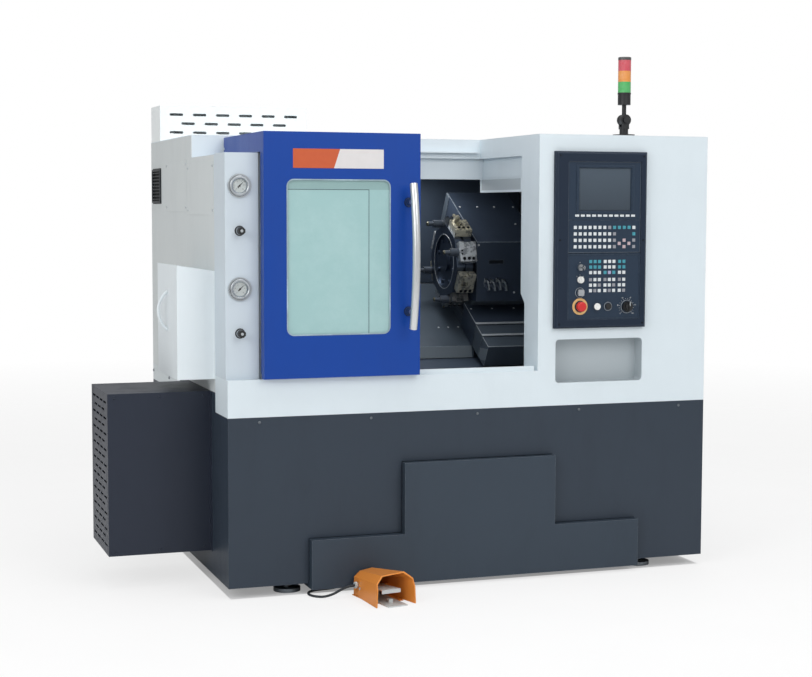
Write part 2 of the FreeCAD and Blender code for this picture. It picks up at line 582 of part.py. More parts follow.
def gauge_column():
    """Folded column beside the door, with holes for the gauges and their valves."""
    w = SHEET
    x1 = COLUMN_WIDTH
    back = LEFT_SIDE_FRONT
    shell = box(0, x1, COLUMN_FRONT, back - EPS, BELT_TOP + EPS, COLUMN_TOP)
    shell = shell.cut([box(w, x1 - w, COLUMN_FRONT + w, back + 1, BELT_TOP - 1, COLUMN_TOP - w),
                       box(x1 - w - 1, x1 + 1, HEAD_FRONT - EPS, back + 1, BELT_TOP - 1, COLUMN_TOP - w)])
    holes = [rod_y(GAUGE_DIAL, GAUGE_X, z, 0, 40) for z in GAUGE_HEIGHTS.values()]
    holes += [rod_y(VALVE_STEM + RUNNING, GAUGE_X, z, 0, 40) for z in VALVE_HEIGHTS.values()]
    return shell.cut(holes)


def headstock_guard():
    """Fixed box over the headstock, behind the open door, with a screwed front panel."""
    w = SHEET
    x0 = COLUMN_WIDTH + EPS
    outer = box(x0, CHAMBER_LEFT - EPS, HEAD_FRONT, FASCIA_Y - EPS, BELT_TOP + EPS, HEAD_ROOF)
    inner = box(x0 - 1, CHAMBER_LEFT - w, HEAD_FRONT + w, FASCIA_Y + 1, BELT_TOP - 1, HEAD_ROOF - w)
    shell = outer.cut(inner)
    nose = rod_x(NOSE_RADIUS + 14, CHAMBER_LEFT - 10, CHAMBER_LEFT + 10)
    low_corner = slant_box(CHAMBER_LEFT - 10, CHAMBER_LEFT + 1, BED_LOW - 10, BED_HIGH - 100,
                           BED_TOP - 60, WAY_COVER + 3)
    px0, px1, pz0, pz1 = HEAD_PANEL
    panel = box(px0, px1, HEAD_FRONT - THIN_SHEET, HEAD_FRONT + 1, pz0, pz1)
    screws = [rod_y(5, x, z, HEAD_FRONT - 5, HEAD_FRONT) for x in (px0 + 12, px1 - 12)
              for z in (pz0 + 12, pz1 - 12)]
    left_roof = box(SHEET + EPS, x0 + 1, LEFT_SIDE_FRONT, FASCIA_Y - EPS, HEAD_ROOF - w, HEAD_ROOF)
    return join([shell.cut([nose, low_corner]), panel, left_roof] + screws)


def fascia():
    """Lintel over the work area: upper band, sunk lower band, door rail."""
    w = SHEET
    top = TOP_HEIGHT - w - EPS
    band_low = TOP_HEIGHT - FASCIA_BAND
    upper = box(EPS + w, HOUSING_X - EPS, FASCIA_Y, FASCIA_Y + w, band_low, top)
    left = box(EPS + w, CHAMBER_LEFT, FASCIA_Y, FASCIA_Y + w, HEAD_ROOF - 40, band_low)
    sunk = FASCIA_Y + FASCIA_RECESS
    sunk_right = HOUSING_X + FASCIA_RECESS
    shelf = box(CHAMBER_LEFT, HOUSING_X - EPS, FASCIA_Y, sunk + w, band_low, band_low + w)
    lower = box(CHAMBER_LEFT, sunk_right, sunk, sunk + w, FASCIA_LOW, band_low + w)
    lip = box(CHAMBER_LEFT, sunk_right, sunk, FASCIA_Y + LIP_DEPTH, FASCIA_LOW, FASCIA_LOW + w)
    cap = box(EPS + w, HOUSING_X - EPS, FASCIA_Y, FASCIA_Y + 30, top - w, top)
    rail = box(DOOR_LEFT + 8, HOUSING_X - 12, FASCIA_Y - HIGH_RAIL_PROUD, FASCIA_Y + 1, HIGH_RAIL_LOW,
               HIGH_RAIL_LOW + HIGH_RAIL_THICK)
    return join([upper, left, shelf, lower, lip, cap, rail])


def roof_panel():
    """Flat roof behind the lintel and over the right housing."""
    outline = [(0, FASCIA_Y), (HOUSING_X, FASCIA_Y), (HOUSING_X, 0), (BODY_LENGTH, 0),
               (BODY_LENGTH, BODY_DEPTH), (0, BODY_DEPTH)]
    return prism_z(outline, TOP_HEIGHT - SHEET, TOP_HEIGHT)


def guard_rear():
    """Rear wall with the electrical cabinet's tub, mounting plate and modules."""
    w = SHEET
    x0, x1, z0, z1 = CABINET
    wall = box(w + EPS, BODY_LENGTH - w - EPS, BODY_DEPTH - w, BODY_DEPTH, BASE_HEIGHT, TOP_HEIGHT - w - EPS)
    back = BODY_DEPTH - CABINET_DEPTH
    tub = box(x0 - w, x1 + w, back, BODY_DEPTH - w, z0 - w, z1 + w)
    hollow = box(x0, x1, back + w, BODY_DEPTH + 1, z0, z1)
    plate = box(x0 + 30, x1 - 30, back + w - 1, back + w + 8, z0 + 30, z1 - 30)
    modules = []
    for k in range(4):
        x = x0 + 60 + k * 110
        modules.append(box(x, x + 80, back + w + 7, back + w + MODULE_DEPTH, z1 - 330, z1 - 80))
    modules.append(box(x0 + 540, x1 - 60, back + w + 7, back + w + 0.6 * MODULE_DEPTH, z1 - 200, z1 - 80))
    for z in (z0 + 90, z0 + 250, z0 + 410):
        modules.append(box(x0 + 60, x1 - 60, back + w + 7, back + w + 0.5 * MODULE_DEPTH, z, z + 40))
    x, y = x1 - CABINET_HINGE[0], BODY_DEPTH - CABINET_HINGE[1]
    pins = [rod_z(CABINET_PIN, x, y, z0 - 1, z0 + CABINET_PIN_LENGTH),
            rod_z(CABINET_PIN, x, y, z1 - CABINET_PIN_LENGTH, z1 + 1)]
    return join([wall.fuse(tub).cut(hollow), plate] + modules + pins)


def cabinet_door():
    """Flat pan door of the electrical cabinet with a recessed pull, hung on two pins."""
    x0, x1, z0, z1 = CABINET
    pan = pan_y(x0 + 3, x1 - 3, z0 + 3, z1 - 3, BODY_DEPTH, BODY_DEPTH - CABINET_PAN, THIN_SHEET)
    middle = (z0 + z1) / 2
    tub = box(x0 + 40, x0 + 75, BODY_DEPTH - CABINET_PAN + 2, BODY_DEPTH, middle - 70, middle + 70)
    cup = box(x0 + 42, x0 + 73, BODY_DEPTH - CABINET_PAN + 4, BODY_DEPTH + 1, middle - 68, middle + 68)
    x, y = x1 - CABINET_HINGE[0], BODY_DEPTH - CABINET_HINGE[1]
    ends = ((z0 + 3, z0 + 4 + CABINET_PIN_LENGTH), (z1 - 4 - CABINET_PIN_LENGTH, z1 - 3))
    knuckles = [rod_z(CABINET_PIN + 2, x, y, low, high) for low, high in ends]
    bores = [rod_z(CABINET_PIN + RUNNING, x, y, low - 1, high + 1) for low, high in ends]
    return join([pan, tub] + knuckles).cut([cup] + bores)


def vent_box():
    """Slotted box over the exhaust opening on the roof."""
    w = THIN_SHEET
    top = TOP_HEIGHT + VENT_HEIGHT
    shell = box(0, VENT_LENGTH, VENT_FRONT, VENT_BACK, TOP_HEIGHT + EPS, top)
    shell = shell.cut(box(w, VENT_LENGTH - w, VENT_FRONT + w, VENT_BACK - w, TOP_HEIGHT - 1, top - w))
    slots = []
    pitch_z = VENT_HEIGHT / 4
    for row in range(3):
        count = VENT_COUNT if row != 1 else VENT_COUNT - 1
        z = TOP_HEIGHT + (row + 1) * pitch_z
        for k in range(count):
            x = VENT_LENGTH / 2 + (k - (count - 1) / 2) * VENT_PITCH
            slots.append(slot_y(x, z, VENT_SLOT, VENT_SLOT_HEIGHT, VENT_FRONT - 1, VENT_BACK + 1))
    return shell.cut(slots)


def slot_y(x, z, length, height, y0, y1):
    """Round-ended slot cutter along Y."""
    return rounded_y(x - length / 2, x + length / 2, z - height / 2, z + height / 2, y0, y1, height * 0.49)


def spindle_end_cover():
    """Sloped box over the rear end of the spindle, with a bow handle."""
    w = THIN_SHEET
    half = END_COVER_WIDTH
    outer = prism_y([(-half, END_COVER_LOW), (-EPS, END_COVER_LOW), (-EPS, END_COVER_HIGH),
                     (-half, END_COVER_HIGH + END_COVER_SLOPE)], END_COVER_FRONT, END_COVER_BACK)
    inner = prism_y([(-half + w, END_COVER_LOW + w), (1, END_COVER_LOW + w), (1, END_COVER_HIGH - w),
                     (-half + w, END_COVER_HIGH + END_COVER_SLOPE - w)],
                    END_COVER_FRONT + w, END_COVER_BACK - w)
    shell = outer.cut(inner)
    middle = (END_COVER_FRONT + END_COVER_BACK) / 2
    low, high = BOW_LOW, BOW_HIGH
    ends = [Vector(-half + 1, middle, z) for z in (low, high)]
    grip = Part.Arc(ends[0], Vector(-half - BOW_STAND, middle, (low + high) / 2), ends[1]).toShape()
    ring = Part.Wire(Part.makeCircle(BOW_RADIUS, ends[0], grip.tangentAt(grip.FirstParameter)))
    handle = Part.Wire(grip).makePipeShell([ring], True, True)
    flange = box(-w, -EPS, END_COVER_FRONT - 12, END_COVER_FRONT + 1, END_COVER_LOW, END_COVER_HIGH)
    return join([shell, handle, flange])


save("front_guard", front_guard())
save("guard_right", guard_right())
save("guard_left", guard_left())
save("gauge_column", gauge_column())
save("headstock_guard", headstock_guard())
save("fascia", fascia())
save("roof_panel", roof_panel())
save("guard_rear", guard_rear())
save("cabinet_door", cabinet_door())
save("vent_box", vent_box())
save("spindle_end_cover", spindle_end_cover())


# ---- chamber, headstock and spindle -------------------------------------------------------
def chamber_liner():
    """Dark sheets round the work area: rear wall, right wall, chute and the fixed way cover."""
    w = THIN_SHEET
    rear_low = slant(600, WAY_COVER)[1]
    rear = box(CHAMBER_LEFT, CHAMBER_RIGHT + w, CHAMBER_REAR, CHAMBER_REAR + w, rear_low, LINER_TOP)
    roof_front = FASCIA_Y + LIP_DEPTH + EPS
    ceiling = box(CHAMBER_LEFT, CHAMBER_RIGHT + w, roof_front, CHAMBER_REAR, LINER_TOP - w, LINER_TOP)
    front = POST_DEPTH_HIGH + 10
    high = LINER_TOP - 2 * w
    right = prism_x([(front, 700), slant(60, WAY_COVER + 20), slant(600, WAY_COVER + 20),
                     (CHAMBER_REAR - EPS, high), (front, high)], CHAMBER_RIGHT, CHAMBER_RIGHT + w)
    y0 = FASCIA_Y + SHEET + EPS
    left_front = WAY_COVER - 4 + EPS
    along = (y0 - slant(0, left_front)[0]) / math.cos(SLANT)
    left = prism_x([slant(along, left_front), slant(600, left_front), (CHAMBER_REAR - EPS, high), (y0, high)],
                   CHAMBER_LEFT - w, CHAMBER_LEFT - EPS)
    lip = slant(WAY_LIP_LOW, WAY_COVER)
    chute_end = (lip[0] - 6, lip[1] - WAY_LIP_HEIGHT - 1)
    chute_front = POST_DEPTH_LOW + 1
    chute = prism_x([(chute_front, 702), (chute_front, 704), (CHUTE_BEND, 704), chute_end,
                     (chute_end[0], chute_end[1] - w), (CHUTE_BEND, 702)], CHAMBER_LEFT, CHAMBER_RIGHT)
    fixed = slant_box(CHAMBER_LEFT, 962, WAY_LIP_LOW + 4, 595, WAY_COVER - 6, WAY_COVER - 4)
    return [rear, ceiling, right, left, chute, fixed]


def headstock():
    """Cast headstock on the slanted bed, with bearing seats that carry the spindle."""
    left = HEAD_LEFT
    right = CHAMBER_LEFT - SHEET - EPS
    body = slant_box(left, right, -125, 150, BED_TOP + EPS, 40)
    crown = rod_x(125, left, right)
    foot = slant_box(left - 20, right, BED_LOW + 5, 185, BED_TOP + EPS, BED_TOP + 40)
    nose = rod_x(NOSE_RADIUS + 8, right - 1, NOSE_X - NOSE_LENGTH - 2)
    housing = join([body, crown, foot, nose])
    seat = rod_x(SPINDLE_RADIUS + RUNNING, left - 1, NOSE_X)
    relief = rod_x(SPINDLE_RADIUS + 14, left + HEAD_BEARING, right - HEAD_BEARING)
    windows = [slant_box(left + 70, right - 70, s0, s1, BED_TOP + 70, -90)
               for s0, s1 in ((-130, -95), (120, 155))]
    return housing.cut([seat, relief] + windows)


def spindle():
    """Hollow spindle with its nose flange and grooved pulley."""
    shaft = rod_x(SPINDLE_RADIUS, SPINDLE_START, NOSE_X)
    nose = rod_x(NOSE_RADIUS, NOSE_X - NOSE_LENGTH, NOSE_X)
    pulley = grooved_pulley(PULLEY_RADIUS, PULLEY_START, AXIS_Y, AXIS_Z)
    return join([shaft, nose, pulley]).cut(rod_x(SPINDLE_BORE, SPINDLE_START - 1, NOSE_X + 1))


def grooved_pulley(radius, x0, y, z):
    """Belt pulley with three round-bottomed grooves and a raised rim at each side."""
    wheel = rod_x(radius, x0, x0 + PULLEY_WIDTH, y, z)
    rims = [rod_x(radius + 8, x, x + 5, y, z) for x in (x0 - 5, x0 + PULLEY_WIDTH)]
    grooves = []
    for k in range(3):
        x = x0 + 16 + k * 20
        ring = rod_x(radius + 1, x, x + 6, y, z).cut(rod_x(radius - 5, x - 1, x + 7, y, z))
        grooves.append(ring)
    return join([wheel] + rims).cut(grooves)


def chuck_body():
    """Three-jaw power chuck with radial slots."""
    body = rod_x(CHUCK_RADIUS, NOSE_X + EPS, CHUCK_FACE)
    edge = [e for e in body.Edges if e.BoundBox.XMin > CHUCK_FACE - 1 and e.BoundBox.YLength > 100]
    body = body.makeChamfer(5, edge)
    body = body.cut(rod_x(CHUCK_HOLE, NOSE_X, CHUCK_FACE + 1))
    half = JAW_WIDTH / 2 + GAP
    slots = []
    for k in range(3):
        slot = box(CHUCK_FACE - JAW_TAIL - GAP, CHUCK_FACE + 1, AXIS_Y - half, AXIS_Y + half,
                   AXIS_Z, AXIS_Z + CHUCK_RADIUS + 1)
        slot.rotate(Vector(0, AXIS_Y, AXIS_Z), Vector(1, 0, 0), 120 * k)
        slots.append(slot)
    return body.cut(slots)


def jaw(index):
    """Stepped jaw that grips towards the axis."""
    half = JAW_WIDTH / 2
    x_tail = CHUCK_FACE - JAW_TAIL
    steps = [box(x_tail, CHUCK_FACE + JAW_STAND - k * JAW_STEP, AXIS_Y - half, AXIS_Y + half,
                 AXIS_Z + JAW_IN + k * 15, AXIS_Z + JAW_OUT) for k in range(2)]
    solid = join(steps)
    wedge = prism_z([(x_tail - 1, AXIS_Y - half - 1), (CHUCK_FACE + JAW_STAND + 1, AXIS_Y - half - 1),
                     (CHUCK_FACE + JAW_STAND + 1, AXIS_Y - half + 8), (x_tail - 1, AXIS_Y - half + 8)], 0, 1)
    wedge.translate(Vector(0, 0, AXIS_Z + JAW_OUT - 0.5))
    holes = [rod_z(5, CHUCK_FACE + 10, AXIS_Y, AXIS_Z + JAW_OUT - 12, AXIS_Z + JAW_OUT + 1)]
    solid = solid.cut([wedge] + holes)
    solid.rotate(Vector(0, AXIS_Y, AXIS_Z), Vector(1, 0, 0), 120 * index)
    return solid


def chuck_cylinder():
    """Rotary hydraulic cylinder on the rear end of the spindle."""
    x1 = SPINDLE_START - EPS
    x0 = x1 - CYLINDER_LENGTH
    body = rod_x(CYLINDER_RADIUS, x0, x1)
    step = rod_x(CYLINDER_RADIUS - 22, x0 - 32, x0 + 1)
    flange = rod_x(CYLINDER_RADIUS + 8, x1 - 14, x1)
    return join([body, step, flange]).cut(rod_x(SPINDLE_BORE, x0 - 40, x1 + 1))


def motor_place():
    return slant(MOTOR_SLANT, MOTOR_DROP)


def spindle_motor():
    """Flanged motor on the bed behind the headstock, with its foot and terminal box."""
    y, z = motor_place()
    body = rod_x(MOTOR_RADIUS, HEAD_LEFT + 12, HEAD_LEFT + MOTOR_LENGTH, y, z)
    flange = rod_x(MOTOR_RADIUS + 7, HEAD_LEFT, HEAD_LEFT + 13, y, z)
    foot = slant_box(HEAD_LEFT + 30, HEAD_LEFT + MOTOR_LENGTH - 40, MOTOR_SLANT - 100, MOTOR_SLANT + 100,
                     BED_TOP + EPS, MOTOR_DROP - 60)
    terminal = slant_box(HEAD_LEFT + 80, HEAD_LEFT + 220, MOTOR_SLANT - 50, MOTOR_SLANT + 50,
                         MOTOR_DROP + 90, MOTOR_DROP + 160)
    motor = join([body, flange, foot, terminal])
    return motor.cut(rod_x(SHAFT_RADIUS + RUNNING, HEAD_LEFT - 1, HEAD_LEFT + 60, y, z))


def motor_pulley():
    y, z = motor_place()
    shaft = rod_x(SHAFT_RADIUS, PULLEY_START - 5, HEAD_LEFT + 50, y, z)
    return join([grooved_pulley(MOTOR_PULLEY_RADIUS, PULLEY_START, y, z), shaft])


def drive_belt():
    """Flat-backed belt round both pulleys, as one closed loop."""
    y, z = motor_place()
    reach = math.hypot(y - AXIS_Y, z - AXIS_Z)
    heading = math.atan2(z - AXIS_Z, y - AXIS_Y)
    x0 = PULLEY_START + GAP
    x1 = PULLEY_START + PULLEY_WIDTH - GAP

    def loop(extra):
        big = PULLEY_RADIUS + extra
        small = MOTOR_PULLEY_RADIUS + extra
        lean = math.acos((big - small) / reach)
        discs = [rod_x(big, x0, x1), rod_x(small, x0, x1, y, z)]
        corners = []
        for centre, radius, side in (((AXIS_Y, AXIS_Z), big, 1), ((y, z), small, 1),
                                     ((y, z), small, -1), ((AXIS_Y, AXIS_Z), big, -1)):
            turn = heading + side * lean
            corners.append((centre[0] + radius * math.cos(turn), centre[1] + radius * math.sin(turn)))
        return join(discs + [prism_x(corners, x0, x1)])

    return loop(GAP + BELT_THICK).cut(loop(GAP))


save("chamber_liner", *chamber_liner())
save("headstock", headstock())
save("spindle", spindle())
save("chuck_body", chuck_body())
for number in range(3):
    save("jaw_%d" % (number + 1), jaw(number))
save("chuck_cylinder", chuck_cylinder())
save("spindle_motor", spindle_motor())
save("motor_pulley", motor_pulley())
save("drive_belt", drive_belt())


# ---- saddle, cross slide and turret -------------------------------------------------------
def saddle():
    """Cast saddle on four runner blocks, with its cross rails, servo and way covers."""
    x0 = SADDLE_LEFT
    x1 = x0 + SADDLE_WIDTH
    plate = slant_box(x0, x1, SADDLE_LOW, SADDLE_HIGH, SADDLE_BASE, SADDLE_TOP)
    runners = []
    for s in (RAIL_FRONT, RAIL_REAR):
        for x in (x0 + 10, x1 - 90):
            block = slant_box(x, x + 80, s - 35, s + 35, BED_TOP + GAP + 2, SADDLE_BASE + 1)
            slot = slant_box(x - 1, x + 81, s - RAIL_WIDTH / 2 - GAP, s + RAIL_WIDTH / 2 + GAP,
                             BED_TOP, BED_TOP + RAIL_HEIGHT + GAP)
            runners.append(block.cut(slot))
    y, z = slant(SCREW_SLANT, BED_TOP)
    nut = slant_box(x0 + 110, x1 - 110, SCREW_SLANT - 2 * SCREW_RADIUS, SCREW_SLANT + 2 * SCREW_RADIUS,
                    BED_TOP - SCREW_RADIUS - 12, SADDLE_BASE + 1)
    nut = nut.cut(rod_x(SCREW_RADIUS + GAP, x0, x1, y, z))
    rails = [slant_box(x, x + CROSS_RAIL_WIDTH, SADDLE_LOW + 5, SADDLE_HIGH - 5, SADDLE_TOP - 1, CROSS_RAIL_TOP)
             for x in cross_rail_places()]
    middle = (x0 + x1) / 2
    servo = slant_box(middle - SERVO_SIZE / 2, middle + SERVO_SIZE / 2, SADDLE_HIGH - 70, SADDLE_HIGH,
                      SADDLE_TOP - 1, SADDLE_TOP + 90)
    return join([plate] + runners + [nut] + rails + [servo])


def cross_rail_places():
    return (SADDLE_LEFT + CROSS_RAIL_INSET,
            SADDLE_LEFT + SADDLE_WIDTH - CROSS_RAIL_INSET - CROSS_RAIL_WIDTH)


def cover_section(step):
    """One section of the stepped cover below the turret: a roof with two side walls."""
    w = THIN_SHEET
    low = COVER_EDGES[step]
    high = COVER_EDGES[step - 1] + COVER_OVERLAP if step else CROSS_LOW - EPS
    top = COVER_TOP - step * COVER_STEP
    x0 = COVER_LEFT + step * COVER_NEST
    x1 = COVER_RIGHT - step * COVER_NEST
    outer = slant_box(x0, x1, low, high, COVER_WALL_END, top)
    inner = slant_box(x0 + w, x1 - w, low - 1, high + 1, COVER_WALL_END - 1, top - w)
    shell = outer.cut(inner)
    if step == len(COVER_EDGES) - 1:
        shell = shell.fuse(slant_box(x0, x1, low, low + w, COVER_WALL_END, top))
    return shell.removeSplitter()


def saddle_covers():
    """Lowest section of the stepped cover and the sliding way covers at both sides."""
    w = THIN_SHEET
    high = SADDLE_HIGH + 3
    left_edge = SADDLE_LEFT + WAY_COVER_LAP
    right_edge = SADDLE_LEFT + SADDLE_WIDTH - WAY_COVER_LAP
    sheets = [cover_section(2)]
    for x0, x1 in ((left_edge - WAY_COVER_LEFT_LENGTH, left_edge),
                   (right_edge, right_edge + WAY_COVER_RIGHT_LENGTH)):
        sheet = slant_box(x0, x1, WAY_LIP_LOW, high, WAY_COVER, WAY_COVER + w)
        y, z = slant(WAY_LIP_LOW, WAY_COVER + w)
        lip = box(x0, x1, y, y + w, z - WAY_LIP_HEIGHT, z)
        sheets.append(join([sheet, lip]))
    return sheets


def cross_slide():
    """Carriage on the cross rails with the turret's indexing unit."""
    x0 = SADDLE_LEFT + CROSS_RAIL_INSET - 20
    x1 = SADDLE_LEFT + SADDLE_WIDTH - CROSS_RAIL_INSET + 20
    carriage = slant_box(x0, x1, CROSS_LOW, CROSS_HIGH - 55, SADDLE_TOP + GAP + 1, CROSS_TOP)
    slots = [slant_box(x - GAP, x + CROSS_RAIL_WIDTH + GAP, CROSS_LOW - 1, CROSS_HIGH, SADDLE_TOP,
                       CROSS_RAIL_TOP + GAP) for x in cross_rail_places()]
    right = HOUSING_LEFT + 215
    unit = slant_box(HOUSING_LEFT + 5, right, TURRET_SLANT - 85, TURRET_SLANT + 95, CROSS_TOP - 1, 95)
    y, z = slant(TURRET_SLANT, 0)
    drive = rod_x(62, right - 1, HOUSING_RIGHT - 12, y, z)
    ring = rod_x(HUB_RADIUS + 6, HOUSING_LEFT + 3 + EPS, HOUSING_LEFT + 6, y, z)
    bore = rod_x(HUB_RADIUS + RUNNING, HOUSING_LEFT, HOUSING_LEFT + 26, y, z)
    return join([carriage.cut(slots), unit, drive, ring]).cut(bore)


def slide_covers():
    """Sheet housing over the indexing unit, and the top section of the stepped cover."""
    w = SHEET
    x0 = HOUSING_LEFT
    x1 = HOUSING_RIGHT
    front = HOUSING_FRONT_Y
    outline = [(front, HOUSING_FRONT_LOW), (front, HOUSING_FRONT_HIGH),
               slant(HOUSING_SLANT_END, HOUSING_TOP), slant(HOUSING_SLANT_END, -100),
               slant(CROSS_HIGH, CROSS_TOP + 5), slant(CROSS_LOW + 3, CROSS_TOP + 5)]
    outer = prism_x(outline, x0, x1)
    inner_outline = [(front + w, HOUSING_FRONT_LOW - 60), (front + w, HOUSING_FRONT_HIGH - w * 0.7),
                     slant(HOUSING_SLANT_END - w, HOUSING_TOP - w), slant(HOUSING_SLANT_END - w, -170),
                     slant(CROSS_LOW - 60, CROSS_TOP - 60)]
    shell = outer.cut(prism_x(inner_outline, x0 + w, x1 - w))
    y, z = slant(TURRET_SLANT, 0)
    hole = rod_x(HUB_RADIUS + 1, x0 - 1, x0 + w + 1, y, z)
    slot = box(x0 + 55, x0 + 120, front - 1, front + w + 1, 1140, 1155)
    nozzles = []
    for k in range(4):
        x = x0 + 40 + k * NOZZLE_PITCH
        z = NOZZLE_HEIGHT
        nozzles.append(rod(5, (x, front + 1, z), (x + 6, front - 16, z - 22)))
        nozzles.append(box(x - 7, x + 7, front - 3, front + 1, z - 6, z + 14))
    return [join([shell.cut([hole, slot])] + nozzles), cover_section(0)]


def station_turn(k):
    """Angle in degrees of station k, counted from the spindle side."""
    return SLANT_DEG + 180 + 360.0 * k / STATIONS


def turret_disc():
    """Eight-sided disc with its hub, a sunk front face and a clamping ring."""
    y, z = slant(TURRET_SLANT, 0)
    corner = TURRET_FLAT / math.cos(math.pi / STATIONS)
    outline = []
    for k in range(STATIONS):
        turn = SLANT + math.pi + (k + 0.5) * 2 * math.pi / STATIONS
        outline.append((y + corner * math.cos(turn), z + corner * math.sin(turn)))
    disc = prism_x(outline, TURRET_LEFT, TURRET_LEFT + TURRET_THICK)
    hub = rod_x(HUB_RADIUS, TURRET_LEFT + TURRET_THICK - 1, HOUSING_LEFT + 22, y, z)
    sink = rod_x(SINK_RADIUS, TURRET_LEFT - 1, TURRET_LEFT + SINK_DEPTH, y, z)
    sink = sink.cut(rod_x(42, TURRET_LEFT - 2, TURRET_LEFT + SINK_DEPTH + 1, y, z))
    bolts = []
    grooves = []
    for k in range(STATIONS):
        turn = (k + 0.5) * 2 * math.pi / STATIONS
        by = y + BOLT_CIRCLE * math.cos(turn)
        bz = z + BOLT_CIRCLE * math.sin(turn)
        bolts.append(rod_x(9, TURRET_LEFT + 4, TURRET_LEFT + SINK_DEPTH + 1, by, bz))
        groove = box(TURRET_LEFT + 28, TURRET_LEFT + 40, y + TURRET_FLAT - 9, y + TURRET_FLAT + 1,
                     z - 70, z + 70)
        groove.rotate(Vector(0, y, z), Vector(1, 0, 0), station_turn(k))
        grooves.append(groove)
    return join([disc.cut([sink] + grooves), hub] + bolts)


def tool_holders():
    """Holders bolted to the flats: square-shank tools and boring-bar sleeves in turn."""
    y, z = slant(TURRET_SLANT, 0)
    holders = []
    for k in range(STATIONS):
        seat = y + TURRET_FLAT + EPS
        top = seat + HOLDER_HEIGHT
        low = z - HOLDER_LENGTH / 2
        x0 = TURRET_LEFT + 6
        x1 = x0 + TURRET_THICK
        block = box(x0, x1, seat, top, low, z + HOLDER_LENGTH / 2)
        screws = [rod_y(5, x0 + 16 + 20 * j, z + 30, top - 1, top + 5) for j in range(3)]
        if k % 2 == 0:
            groove = box(x0 + 14, x1 - 30, seat + 12, top + 1, low - 1, z + 12)
            wedge = box(x0 + 16 + SHANK, x1 - 31, seat + 8, top - 6, low + 8, z + 10)
            shank = box(x0 + 15, x0 + 15 + SHANK, seat + 11, top + 22, low - 1, low - 1 + SHANK)
            tip = box(x0 + 11, x0 + 19, top + 14, top + 25, low - 5, low)
            solid = join([block.cut(groove), wedge, shank, tip] + screws)
        else:
            bar_y = seat + HOLDER_HEIGHT / 2 + 0.5
            sleeve = rod_x(16, x0 - 40, x0 + 1, bar_y, z)
            bar = rod_x(9, x0 - 62, x0 - 39, bar_y, z)
            slot = box(x0 + 20, x1 - 20, top - 10, top + 1, low - 1, z - 14)
            solid = join([block.cut(slot), sleeve, bar] + screws)
        solid.rotate(Vector(0, y, z), Vector(1, 0, 0), station_turn(k))
        holders.append(solid)
    return holders


save("saddle", saddle())
save("saddle_covers", *saddle_covers())
save("cover_middle", cover_section(1))
save("cross_slide", cross_slide())
save("slide_covers", *slide_covers())
save("turret_disc", turret_disc())
save("tool_holders", *tool_holders())


# ---- door ---------------------------------------------------------------------------------
def door_shell():
    """Blue sliding door: framed front, roof that reaches back to the lintel, slide shoes."""
    w = SHEET
    x0 = DOOR_LEFT
    x1 = DOOR_RIGHT
    y0 = -DOOR_PROUD
    y_in = y0 + DOOR_RETURN
    front = box(x0, x1, y0, y0 + w, DOOR_LOW, DOOR_TOP)
    left = box(x0, x0 + w, y0, y_in, DOOR_LOW, DOOR_TOP)
    right = box(x1 - w, x1, y0, y_in, DOOR_LOW, DOOR_TOP)
    bottom = box(x0, x1, y0, -2, DOOR_LOW, DOOR_LOW + w)
    roof = box(x0, x1, y0, DOOR_ROOF_BACK, DOOR_TOP - w, DOOR_TOP)
    roof_sides = [box(x, x + w, y0, DOOR_ROOF_BACK, DOOR_SIDE_LOW, DOOR_TOP) for x in (x0, x1 - w)]
    roof_back = box(x0, x1, DOOR_ROOF_BACK - w, DOOR_ROOF_BACK, DOOR_TOP - 26, DOOR_TOP)
    wx0, wx1, wz0, wz1 = WINDOW
    opening = rounded_y(wx0, wx1, wz0, wz1, y0 - 1, y0 + w + 1, WINDOW_CORNER)
    high_rail = HIGH_RAIL_LOW + HIGH_RAIL_THICK
    rail_front = FASCIA_Y - HIGH_RAIL_PROUD
    shoes = []
    for x in (x0 + 30, x1 - 30 - SHOE_LENGTH):
        end = x + SHOE_LENGTH
        shoe = box(x, end, y0 + w - 1, 24, DOOR_LOW, BELT_TOP + 46)
        slot = box(x - 1, end + 1, LOW_RAIL_FRONT - GAP, LOW_RAIL_BACK + GAP, DOOR_LOW - 1, LOW_RAIL_TOP + GAP)
        shoes.append(shoe.cut(slot))
        hook = box(x, end, DOOR_ROOF_BACK - 60, DOOR_ROOF_BACK - w + 1, DOOR_SIDE_LOW, DOOR_TOP - w + 1)
        groove = box(x - 1, end + 1, rail_front - GAP, FASCIA_Y, HIGH_RAIL_LOW - GAP, high_rail + GAP)
        shoes.append(hook.cut(groove))
    folded = join([front.cut(opening), left, right, bottom, roof] + roof_sides + [roof_back])
    notches = [box(x0 - 1, x1 + 1, LOW_RAIL_FRONT - 2, LOW_RAIL_BACK + 2, DOOR_LOW - 1, LOW_RAIL_TOP + 2),
               box(x0 - 1, x1 + 1, rail_front - 2, FASCIA_Y, HIGH_RAIL_LOW - 2, high_rail + 2)]
    return join([folded.cut(notches)] + shoes)


def door_window():
    """Safety glass held behind the window opening."""
    x0, x1, z0, z1 = WINDOW
    y = -DOOR_PROUD + SHEET + EPS
    return rounded_y(x0 - 18, x1 + 18, z0 - 18, z1 + 18, y, y + GLASS_THICK, WINDOW_CORNER)


